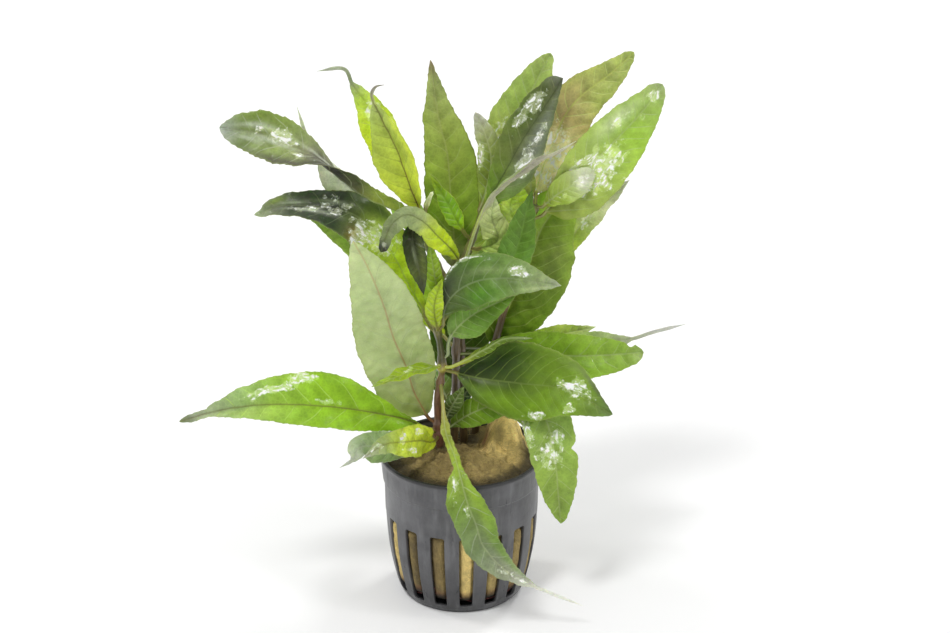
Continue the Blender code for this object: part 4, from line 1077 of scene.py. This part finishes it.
    add_leaf("leaf_low_right", front, 58, 5, 0.5, fold=8,
        path=[(3, -5, 67), (11, -9, 72), (23, -13, 75)],
        tint={0: (0.07, 0.11, 0.015), 0.3: (0.15, 0.25, 0.02), 1: BRIGHT},
        wet=0.15, stalk_tint=SHADED_STALK)
    add_leaf("leaf_side_right", left, 86, (7.6, 8.2), (0.5, 0.55), shape=(1, 0.75), fold=8, blunt=0.06,
        path=[(19, 1, 87), (33, 0, 86), (46, -2, 87), (60, -4, 89)],
        tint={0: (0.18, 0.3, 0.02), 0.3: (0.28, 0.47, 0.03), 0.6: (0.28, 0.45, 0.04),
            0.9: (0.27, 0.4, 0.06), 1: (0.3, 0.38, 0.12)},
        nicks=[(0.93, -1, 1.8, 1.8)], wet=0.08, stalk_tint=SHADED_STALK)
    add_leaf("leaf_side_tailed", middle, 85, (4.6, 4), 0.55, fold=8, stalk=0.1, tail=0.24,
        path=[(26, 7, 85), (43, 8, 86), (57, 9, 88), (64, 10, 90), (75, 10, 93)],
        tint={0: BRIGHT, 0.5: (0.38, 0.5, 0.15), 0.7: (0.36, 0.4, 0.22), 0.85: (0.46, 0.46, 0.4),
            1: (0.62, 0.62, 0.58)}, rib=(SILVER, 0.5), wet=0.15, stalk_tint=SHADED_STALK)
    add_leaf("leaf_side_upper", right, 84, (3.6, 3.2), 0.55, turn=10, fold=10,
        path=[(23, 10.4, 86.4), (35, 12, 88.6), (45, 13, 90.6)],
        tint={0: (0.28, 0.42, 0.03), 0.5: (0.42, 0.54, 0.08), 0.8: (0.46, 0.56, 0.12), 1: PALE},
        wet=0.1, stalk_tint=SHADED_STALK)
    add_leaf("leaf_hanging_right", left, 68, (7.9, 8.4), 0.55, shape=((0.36, 0.6), (0.9, 0.78)), fold=8,
        stalk=0.08,
        path=[(19, -10, 74), (26, -15, 73), (29, -18, 67), (31, -20, 56), (32, -20, 45), (33, -19, 33.4)],
        # the pale stop near the stalk is painted glare
        tint={0.12: (0.66, 0.68, 0.42), 0.3: (0.3, 0.42, 0.1), 0.5: (0.27, 0.39, 0.08),
            0.75: (0.27, 0.39, 0.06), 1: (0.19, 0.28, 0.04)},
        glints=[(0.46, 0.85, 0.14, 0.25, 1), (0.66, 0.2, 0.1, 0.6, 0.85), (0.2, 0.6, 0.05, 0.4, 0.9),
            (0.56, -0.3, 0.08, 0.4, 0.6)],
        nicks=[(0.63, -1, 1.8, 2.2)], rib=(PALE, 0.5), wet=0.25, stalk_tint=SHADED_STALK)

    # foot of the front shoot
    add_leaf("leaf_long_left", front, 57, (7.4, 11), (0.42, 0.48), shape=((0.8, 0.75), (2.2, 0.9)),
        turn=(0, 10, 10), fold=10, stalk=0.05, tail=0.08, tip=1.3,
        path=[(-16, -5, 64), (-32, -9, 70), (-49, -13, 74), (-66, -16, 75.6), (-80, -18, 74.3),
            (-92, -19, 71)],
        # the grey-green stops towards the tip are painted sheen
        tint={0: (0.22, 0.38, 0.02), 0.3: (0.27, 0.46, 0.02), 0.5: (0.28, 0.48, 0.025),
            0.66: (0.3, 0.47, 0.06), 0.78: (0.3, 0.42, 0.15), 0.88: (0.33, 0.38, 0.22),
            0.95: (0.3, 0.33, 0.22), 1: (0.18, 0.22, 0.09)},
        patches=[(0.75, -0.6, 0.12, 0.4, (0.42, 0.56, 0.1), 0.5)],
        glints=[(0.56, 0.85, 0.07, 0.2, 1), (0.66, 0.55, 0.1, 0.15, 1), (0.46, 0.15, 0.1, 0.12, 0.8),
            (0.72, 0.3, 0.08, 0.3, 0.5)],
        vein=((0.5, 0.7, 0.14), 0.6), rib=((0.14, 0.12, 0.03), 0.85), wet=0.15, wave=(0.6, 3, 0.4))
    add_leaf("leaf_rim_bright", front, 56, 5.4, 0.42, fold=8, stalk=0.08,
        path=[(-10, -8, 58), (-13, -13, 61), (-19, -20, 64), (-25, -26, 66), (-32, -28, 62)],
        tint={0: (0.3, 0.16, 0.06), 0.12: (0.56, 0.68, 0.03), 0.3: (0.58, 0.7, 0.04),
            0.66: (0.54, 0.66, 0.07), 0.8: (0.34, 0.42, 0.14), 0.92: (0.3, 0.34, 0.19), 1: SILVER},
            under=PALE,
        glints=[(0.6, 0.2, 0.06, 0.7, 1), (0.42, 0.6, 0.06, 0.35, 1), (0.5, -0.6, 0.06, 0.35, 1),
            (0.85, 0.3, 0.08, 0.8, 0.8)],
        rib=((0.16, 0.14, 0.03), 0.8), vein=(LIME, 0.4), wet=0.3, quilt=0.1, wave=(0.25, 2, 0))
    add_leaf("leaf_rim_grey", front, 54.4, 5.2, 0.6, shape=(0.8, 0.8), fold=10, stalk=0.08, tail=0.1,
        path=[(-17, -6.5, 56.3), (-26, -13, 58.8), (-33.4, -17, 60.5), (-35.5, -18.5, 57),
            (-40, -20, 54.5)],
        tint={0: (0.2, 0.22, 0.06), 0.35: (0.24, 0.3, 0.1), 0.5: (0.32, 0.42, 0.18),
            0.7: (0.28, 0.37, 0.17), 0.9: SILVER},
        vein=(SILVER, 0.2), rib=(SILVER, 0.35), margin=(SILVER, 0.6), wet=0.15)
    add_leaf("leaf_over_rim", front, 77, (6.4, 6.8), (0.5, 0.44), shape=((1, 1.1), (0.6, 1.1)), stalk=0.3,
        tail=0.16, winged=1.4,
        path=[(-6, -10, 72), (-5, -17, 66), (-2, -25, 61), (0, -31, 56), (2, -34, 49), (5, -35, 41),
            (7, -35, 34), (14, -35, 25), (23, -34, 18.6), (40.5, -31, 8.8)],
        tint={0: (0.38, 0.34, 0.1), 0.1: (0.38, 0.4, 0.08), 0.3: (0.28, 0.4, 0.04),
            0.45: (0.17, 0.26, 0.05), 0.6: (0.18, 0.23, 0.11), 0.72: (0.3, 0.32, 0.22),
            0.8: (0.56, 0.56, 0.48), 0.88: (0.78, 0.78, 0.72), 1: (0.8, 0.8, 0.74)},
        patches=[(0.45, -0.7, 0.12, 0.35, LIME, 0.5), (0.6, -0.8, 0.2, 0.3, (0.16, 0.28, 0.03), 0.7)],
        glints=[(0.36, 0.5, 0.07, 0.4, 0.7), (0.46, 0.2, 0.05, 0.3, 0.6), (0.7, 0.2, 0.1, 0.5, 0.7),
            (0.84, 0, 0.08, 0.8, 0.7)],
        vein=(SILVER, 0.28), rib=(PALE, 0.4), veins=14, wet=0.2, stalk_tint=(0.38, 0.34, 0.1))
    add_leaf("leaf_pale_underside", front, 60, (11, 13.1), (0.5, 0.36), shape=((0.52, 0.9), (0.38, 0.64)),
        turn=180, fold=6,
        path=[(-12.5, 0, 66), (-15.6, -2.7, 74), (-18, -7, 85), (-22, -10, 97), (-25, -15, 111),
            (-30, -20, 127), (-34, -22, 136)],
        tint=BRIGHT,
        under={0: (0.4, 0.46, 0.12), 0.3: (0.45, 0.52, 0.23), 0.7: (0.48, 0.57, 0.27),
            1: (0.56, 0.65, 0.32)},
        rib=((0.42, 0.21, 0.09), 0.85), vein=(PALE, 0.4), tone=0.4, net=0.2, wet=0.05, stalk_tint=RUST,
        wave=(0.6, 2, 0.3))
    add_leaf("leaf_base_grey", front, 61, 2.8, 0.6, fold=15,
        path=[(-3, -5, 70), (1, -7, 78)],
        # the near-black tint is painted shade inside the plant
        tint={0: (0.03, 0.04, 0.01), 0.4: (0.05, 0.08, 0.015), 1: (0.14, 0.21, 0.04)}, wet=0.2)
    add_leaf("leaf_base_dark", left, 59, 2.4, 0.6, fold=15,
        path=[(0, 0, 69), (4, -1, 78)],
        # the near-black tint is painted shade inside the plant
        tint={0: NIGHT, 0.6: (0.05, 0.08, 0.03), 1: DARK}, wet=0.2)

    # inside the plant, and at its back, where the leaves face the sky
    add_leaf("leaf_inner_dark", middle, 68, 10.5, 0.5, shape=(0.6, 0.8), fold=10,
        path=[(-1, 17, 80), (0.5, 20, 93), (2, 22, 108)],
        # a filler leaf inside the plant, whose dark tint is painted shade
        tint={0: (0.06, 0.07, 0.02), 0.4: (0.07, 0.1, 0.015), 1: (0.12, 0.19, 0.02)}, wet=0.05)
    add_back_leaf(1, right, 127, 8.5, 0.45,
        path=[(15, 20, 131), (23, 40, 134), (27, 55, 127)],
        tint={0: OLIVE, 0.3: (0.58, 0.8, 0.05), 0.7: LIME, 1: OLIVE}, vein=(PALE, 0.5))
    add_back_leaf(2, middle, 103, 8.5, 0.45,
        path=[(5, 26, 111), (7, 43, 113), (8, 58, 105)],
        tint={0: OLIVE, 0.6: BRIGHT, 1: GREEN},
        glints=[(0.5, 0.2, 0.15, 0.5, 0.7)], wet=0.3, vein=(PALE, 0.4))
    add_back_leaf(3, left, 88, 8.5, 0.45,
        path=[(-18, 22, 99), (-25, 38, 102), (-31, 54, 96)],
        tint={0: (0.56, 0.7, 0.03), 0.3: LIME, 0.6: BRIGHT, 1: OLIVE}, vein=(PALE, 0.4))
    add_back_leaf(4, right, 76, 8, 0.45,
        path=[(18, 30, 90), (24, 46, 92), (28, 60, 84)],
        tint={0: DARK, 0.6: GREEN, 1: BRIGHT},
        glints=[(0.6, -0.4, 0.12, 0.4, 0.7)], vein=(LIME, 0.5))
    add_back_leaf(5, left, 62, 7, 0.5,
        path=[(-9, 22, 69), (-13, 37, 62), (-15, 46, 47)],
        tint={0: (0.16, 0.13, 0.05), 0.4: GREEN, 0.7: BRIGHT, 1: LIME},
        glints=[(0.6, -0.3, 0.15, 0.5, 0.7)], wet=0.3)
    add_back_leaf(6, right, 62, 7, 0.5,
        path=[(13, 28, 68), (19, 40, 62), (22, 48, 48)],
        tint={0: GREEN, 0.6: OLIVE, 1: GREY}, vein=(PALE, 0.5))
    add_back_leaf(7, middle, 110, 6.5, 0.45,
        path=[(4, 20, 122), (5, 36, 134), (5, 51, 134)],
        tint={0: (0.34, 0.42, 0.08), 0.2: (0.4, 0.5, 0.08), 0.7: GREEN, 1: DARK},
        glints=[(0.65, 0.3, 0.12, 0.5, 0.8)], wet=0.3)
    add_back_leaf(8, right, 134, 7, 0.45,
        path=[(23, 24, 146), (28, 38, 149), (32, 51, 143)],
        tint={0: (0.4, 0.46, 0.12), 0.3: (0.44, 0.5, 0.12), 0.7: PINKISH, 1: OLIVE}, vein=(PALE, 0.6))
    add_back_leaf(9, left, 120, 6, 0.45,
        path=[(-15, 15, 127), (-19, 29, 127), (-20, 42, 118)],
        tint={0: OLIVE, 0.6: BRIGHT, 1: OLIVE}, vein=(PALE, 0.4))


# Leaf meshes

TOOTH_PITCH = 2.4         # millimetres from tooth to tooth along the margin
RAGGED = 0.25             # how far the margin strays
ARCH = 0.10               # rise of each side between midrib and margin, as a share of its width
UNEVEN = 0.22             # height of the shallow bumps
COLUMNS_PER_MM = 3.4      # columns of the mesh for each millimetre of half width
STALK_REACH = 0.6         # how far a stalk runs on into its stem
STALK_DEPTH = 0.85        # depth of a stalk, as a share of its width
EDGE_THICK = 0.16         # the blade at its margin
MIDDLE_THICK = 0.12       # what it gains towards the midrib
RIB_THICK = 0.75          # what the midrib adds beneath
VEIN_THICK = 0.10         # what a side vein adds beneath
THINNEST = 0.02
VEIN_WIDTH = 0.3
RIB_AT_TIP = 0.55         # width of the midrib at the tip
RIB_GAIN = 0.35           # what it gains down to the stalk


def leaf_grid(name):
    """A leaf's upper and lower face as grids of points, with what its skin needs at each point."""
    leaf = LEAVES[name]
    seed = sorted(LEAVES).index(name) + 11
    centre, upward = stem_centre(leaf["stem"], leaf["height"])
    out = np.array(leaf["path"][0], float) - centre
    out = unit(out - np.dot(out, upward) * upward)
    foot = centre + out * (STEM_RADIUS + GAP + STALK_HALF_WIDTH)
    points = np.vstack([foot, np.array(leaf["path"], float)])
    length = float(np.linalg.norm(np.diff(points, axis=0), axis=1).sum())
    rows = int(np.clip(length / LEAF_STEP, *LEAF_ROWS))
    line = smooth_curve(points, rows)
    t = np.linspace(0.0, 1.0, rows)
    along = unit(np.gradient(line, axis=0))
    facing = unit(leaf["towards"] - (along @ leaf["towards"])[:, None] * along)
    side = np.cross(along, facing)
    turns = both(leaf["turn"])
    rolled = np.radians(through(np.linspace(0.0, 1.0, len(turns)), turns, t))[:, None]
    up = facing * np.cos(rolled) + side * np.sin(rolled)
    right = np.cross(along, up)
    # the stalk runs on into the stem, which hides its end
    reach = 1.0 - smoothstep(0.0, 0.05, t)
    line = line - out * (reach * (GAP + STALK_HALF_WIDTH + STALK_REACH))[:, None]

    wide = [half_widths(t, leaf, k) for k in (0, 1)]
    columns = int(np.clip(max(wide[0].max(), wide[1].max()) * COLUMNS_PER_MM, *LEAF_COLUMNS))
    columns += columns % 2 + 1
    across = np.linspace(-1.0, 1.0, columns)
    across = np.sign(across) * (0.35 * np.abs(across) + 0.65 * np.sin(np.abs(across) * pi / 2))
    T, A = np.meshgrid(t, across, indexing="ij")
    half = np.where(A < 0, wide[0][:, None], wide[1][:, None])
    blade = smoothstep(0.9, 3.0, wide[0] + wide[1])[:, None]
    run = T * length

    # the margin: fine teeth that point to the tip
    tooth = (run / TOOTH_PITCH + 0.13 * seed) % 1.0
    teeth = leaf["teeth"] * (tooth ** 1.6) * (1 - smoothstep(0.86, 1.0, tooth))
    ragged = ripple(np.stack([run, 9.0 * np.sign(A)], axis=-1), 7.0, seed) * RAGGED
    edge = smoothstep(0.72, 1.0, np.abs(A)) * blade
    reach = half * A + np.sign(A) * edge * (teeth + ragged)
    for at, way, deep, broad in leaf["nicks"]:
        bite = deep * np.clip(1 - np.abs(run - at * length) / broad, 0, 1) * (np.sign(A) == way)
        reach = reach - np.sign(A) * bite * np.abs(A) ** 4

    # side veins run forward from the midrib and fade before the margin
    forward = np.abs(A) * half * 0.75 + (np.abs(A) * half) ** 2 * 0.035
    pitch = length / (leaf["veins"] + 2)
    sway = 0.16 * ripple(np.stack([run, 0.4 * reach], axis=-1), 11.0, seed + 90)
    phase = (run - forward) / pitch + 0.1 * seed + sway
    side_phase = phase + np.where(A < 0, 0.5, 0.0)
    from_vein = np.abs((side_phase + 0.5) % 1.0 - 0.5) * pitch
    fade = smoothstep(0.98, 0.7, np.abs(A)) * blade
    vein = np.exp(-(from_vein / VEIN_WIDTH) ** 2) * fade
    rib = np.exp(-(reach / (RIB_AT_TIP + RIB_GAIN * (1 - T))) ** 2)

    # relief in millimetres above the fold's two planes
    lift = radians(leaf["fold"])
    outward = np.abs(reach)
    rise = np.sqrt(outward ** 2 + 0.5) - 0.7
    height = rise * sin(lift)
    height += ARCH * half * np.sin(np.abs(A) * pi) * blade * 0.5
    quilt = np.sin(pi * (side_phase % 1.0)) ** 2
    height += leaf["quilt"] * (quilt - 0.5) * np.sin(np.clip(np.abs(A) * 1.05, 0, 1) * pi) * blade
    size, count, start = leaf["wave"]
    swing = np.sin(2 * pi * (count * T + start) + np.where(A < 0, 1.9, 0.0) + seed)
    height += size * swing * np.abs(A) ** 1.7 * blade
    flat = np.stack([reach, run], axis=-1)
    height += UNEVEN * ripple(flat, 6.0, seed + 5) * blade
    height -= 0.25 * np.exp(-(reach / 0.45) ** 2) * blade

    spread = np.where(blade > 0.5, cos(lift), 1.0)
    top = line[:, None] + right[:, None] * (reach * spread)[..., None] + up[:, None] * height[..., None]
    # thickness: a round stalk that turns into a thin blade with a rib and veins beneath
    stalk_thick = 2 * STALK_HALF_WIDTH * STALK_DEPTH * np.sqrt(np.maximum(0.0, 1 - A ** 2))
    taper = smoothstep(1.02, 0.6, T)
    blade_thick = EDGE_THICK + MIDDLE_THICK * (1 - np.abs(A)) + rib * RIB_THICK * taper
    blade_thick += VEIN_THICK * vein
    thin = smoothstep(0.0, 0.10, 1.0 - T)
    thick = (stalk_thick * (1 - blade) * (0.35 + 0.65 * thin) + blade_thick * blade)
    thick = np.maximum(thick, THINNEST)
    top = top + up[:, None] * (thick * (1 - blade) * 0.5)[..., None]
    bottom = top - up[:, None] * thick[..., None]
    flow = np.stack([phase, np.full_like(T, pitch), fade], axis=-1)
    return dict(top=top, bottom=bottom, T=T, A=A, reach=reach, run=run, blade=blade, quilt=quilt,
                flow=flow, seed=seed)


def spot(g, where):
    """Soft round patch in leaf coordinates: places along and across, and how far it reaches in each."""
    t, a, wide_t, wide_a = where
    return np.exp(-(((g["T"] - t) / wide_t) ** 2 + ((g["A"] - a) / wide_a) ** 2))


def along_leaf(stops, t):
    """Colours that change from stop to stop along the leaf, or a single colour."""
    if not isinstance(stops, dict):
        stops = {0: stops}
    colours = np.array(list(stops.values()))
    return np.stack([np.interp(t, list(stops), colours[:, k]) for k in range(3)], axis=-1)


def leaf_tint(g, leaf):
    """Colours of the upper and the lower face."""
    top, under = along_leaf(leaf["tint"], g["T"]), along_leaf(leaf["under"], g["T"])

    def lay(base, colour, amount):
        return base + (np.array(colour) - base) * np.clip(amount, 0, 1)[..., None]

    for *where, colour, amount in leaf["patches"]:
        top = lay(top, colour, spot(g, where) * amount)
    flat = np.stack([g["reach"], g["run"]], axis=-1)
    tone = 0.11 * ripple(flat, 9.0, g["seed"] + 50) + 0.05 * ripple(flat, 3.2, g["seed"] + 70)
    tone = (1 + leaf["tone"] * tone)[..., None]
    top, under = top * tone, under * tone
    top = top * (1 - 0.08 * (g["quilt"] * g["blade"] * (1 - np.abs(g["A"]))))[..., None]
    colour, amount = leaf["margin"]
    rim = smoothstep(0.93, 1.0, np.abs(g["A"])) * amount * g["blade"]
    top, under = lay(top, colour, rim), lay(under, colour, rim)
    bare = (1 - g["blade"]) * smoothstep(0.5, 0.3, g["T"])
    return lay(top, leaf["stalk_tint"], bare), lay(under, leaf["stalk_tint"], bare)


def line_tint(g, vein, rib):
    """Colour of the midrib and the veins, with how strongly each shows as the fourth value."""
    near = np.exp(-(g["reach"] / 0.8) ** 2)[..., None]
    vein = np.append(vein[0], vein[1])
    rib = np.append(rib[0], rib[1]) * np.ones_like(near)
    rib[..., 3] *= 1 - 0.6 * g["T"]
    return vein + (rib - vein) * near


def make_leaf(name, material):
    leaf, g = LEAVES[name], leaf_grid(name)
    top_tint, under_tint = leaf_tint(g, leaf)
    lines = [line_tint(g, vein, leaf["rib"]) for vein in (leaf["vein"], (VEIN_UNDER, 0.4))]
    lines = np.concatenate([face.reshape(-1, 4) for face in lines])
    flow = np.tile(g["flow"].reshape(-1, 3), (2, 1))
    rows, columns = g["T"].shape
    count = rows * columns
    verts = np.concatenate([g["top"].reshape(-1, 3), g["bottom"].reshape(-1, 3)])
    faces = grid_faces(rows, columns, 0).tolist()
    faces += grid_faces(rows, columns, count, flip=True).tolist()
    ring = list(range(columns))
    ring += [i * columns + columns - 1 for i in range(1, rows)]
    ring += [(rows - 1) * columns + j for j in range(columns - 2, -1, -1)]
    ring += [i * columns for i in range(rows - 2, 0, -1)]
    faces += [[b, a, a + count, b + count] for a, b in zip(ring, ring[1:] + ring[:1])]
    wet = np.full_like(g["T"], leaf["wet"]) * g["blade"]
    # strength of the painted highlights at each point
    glint = sum((spot(g, where) * amount for *where, amount in leaf["glints"]), 0.0 * wet)
    glint = np.clip(glint, 0, 1) * g["blade"]
    dry = np.full(count, 0.10)
    # a place of its own in the noises for each leaf, and for its lower face
    shift = np.full(count, g["seed"] * 40.0 + leaf["drift"])
    place = np.stack([g["reach"].ravel(), g["run"].ravel(), shift], axis=1)
    tints = np.concatenate([top_tint.reshape(-1, 3), under_tint.reshape(-1, 3)])
    tints = np.concatenate([np.clip(tints, 0.004, 1), np.ones((2 * count, 1))], axis=1)
    return make_object(name + "_blade", verts, faces, material, [name],
                       {"tint": tints, "line": lines, "flow": flow,
                        "place": np.concatenate([place, place + [0.0, 0.0, 20.0]]),
                        "net": np.full(2 * count, leaf["net"]),
                        "wet": np.concatenate([wet.ravel(), dry]),
                        "glint": np.concatenate([glint.ravel(), 0.0 * dry])})


# Stage

WORLD_LOW, WORLD_HIGH = 0.25, 0.74      # brightness of the room, level and overhead
FLOOR_HALF = 4.0                        # metres from the middle to each side


def make_floor():
    mesh = bpy.data.meshes.new("floor")
    corners = [(x * FLOOR_HALF, y * FLOOR_HALF, 0.0) for x, y in ((-1, -1), (1, -1), (1, 1), (-1, 1))]
    mesh.from_pydata(corners, [], [(0, 1, 2, 3)])
    mesh.materials.append(floor_material())
    ob = bpy.data.objects.new("floor", mesh)
    bpy.context.scene.collection.objects.link(ob)


def sun(name, towards, power, spread, colour=(1.0, 1.0, 1.0)):
    """A far studio light that shines from the given direction, as wide as its spread in degrees."""
    data = bpy.data.lights.new(name, "SUN")
    data.energy = power
    data.angle = radians(spread)
    data.color = colour
    ob = bpy.data.objects.new(name, data)
    ob.rotation_euler = Vector(towards).to_track_quat("Z", "Y").to_euler()
    bpy.context.scene.collection.objects.link(ob)


def make_lights():
    world = bpy.data.worlds.new("white room")
    world.use_nodes = True
    tree = world.node_tree
    height = split(tree, add(tree, "ShaderNodeTexCoord")["Generated"])["Z"]
    glow = remap(tree, height, 0.0, 1.0, WORLD_LOW, WORLD_HIGH)
    fill(tree, tree.nodes["Background"], {"Color": (1.0, 1.0, 1.0, 1.0), "Strength": glow})
    bpy.context.scene.world = world
    sun("key", (-0.45, -0.75, 1.3), 1.05, 12)
    sun("behind right", (0.55, 0.75, 1.15), 0.7, 12)
    sun("left", (-1.0, 0.35, 0.9), 0.55, 10)
    sun("right", (0.9, -0.5, 0.8), 0.5, 10)


def make_camera():
    data = bpy.data.cameras.new("camera")
    data.lens = CAMERA_LENS
    data.sensor_width = 36.0
    data.clip_start, data.clip_end = 0.01, 20.0
    camera = bpy.data.objects.new("camera", data)
    back = Vector((0.0, -cos(CAMERA_LIFT), sin(CAMERA_LIFT)))
    camera.location = TARGET + back * CAMERA_DISTANCE
    camera.rotation_euler = (-back).to_track_quat("-Z", "Y").to_euler()
    bpy.context.scene.collection.objects.link(camera)
    bpy.context.scene.camera = camera


make_pot(pot_material())
wool = wool_material()
make_wool(wool)
make_strands("wool_fibres", wool_fibres(), 0.05, 4, wool, OCHRE)
make_strands("roots", root_lines(), 0.22, 6, root_material(), STEM_RED)
describe_leaves()
stem_skin = stem_material()
for stem_name in STEMS:
    joints = sorted({leaf["height"] for leaf in LEAVES.values() if leaf["stem"] == stem_name})
    make_stem(stem_name, joints, stem_skin)
leaf_skin = leaf_material()
for leaf_name in LEAVES:
    make_leaf(leaf_name, leaf_skin)
make_floor()
make_lights()
make_camera()
bpy.context.scene.view_settings.view_transform = "Standard"
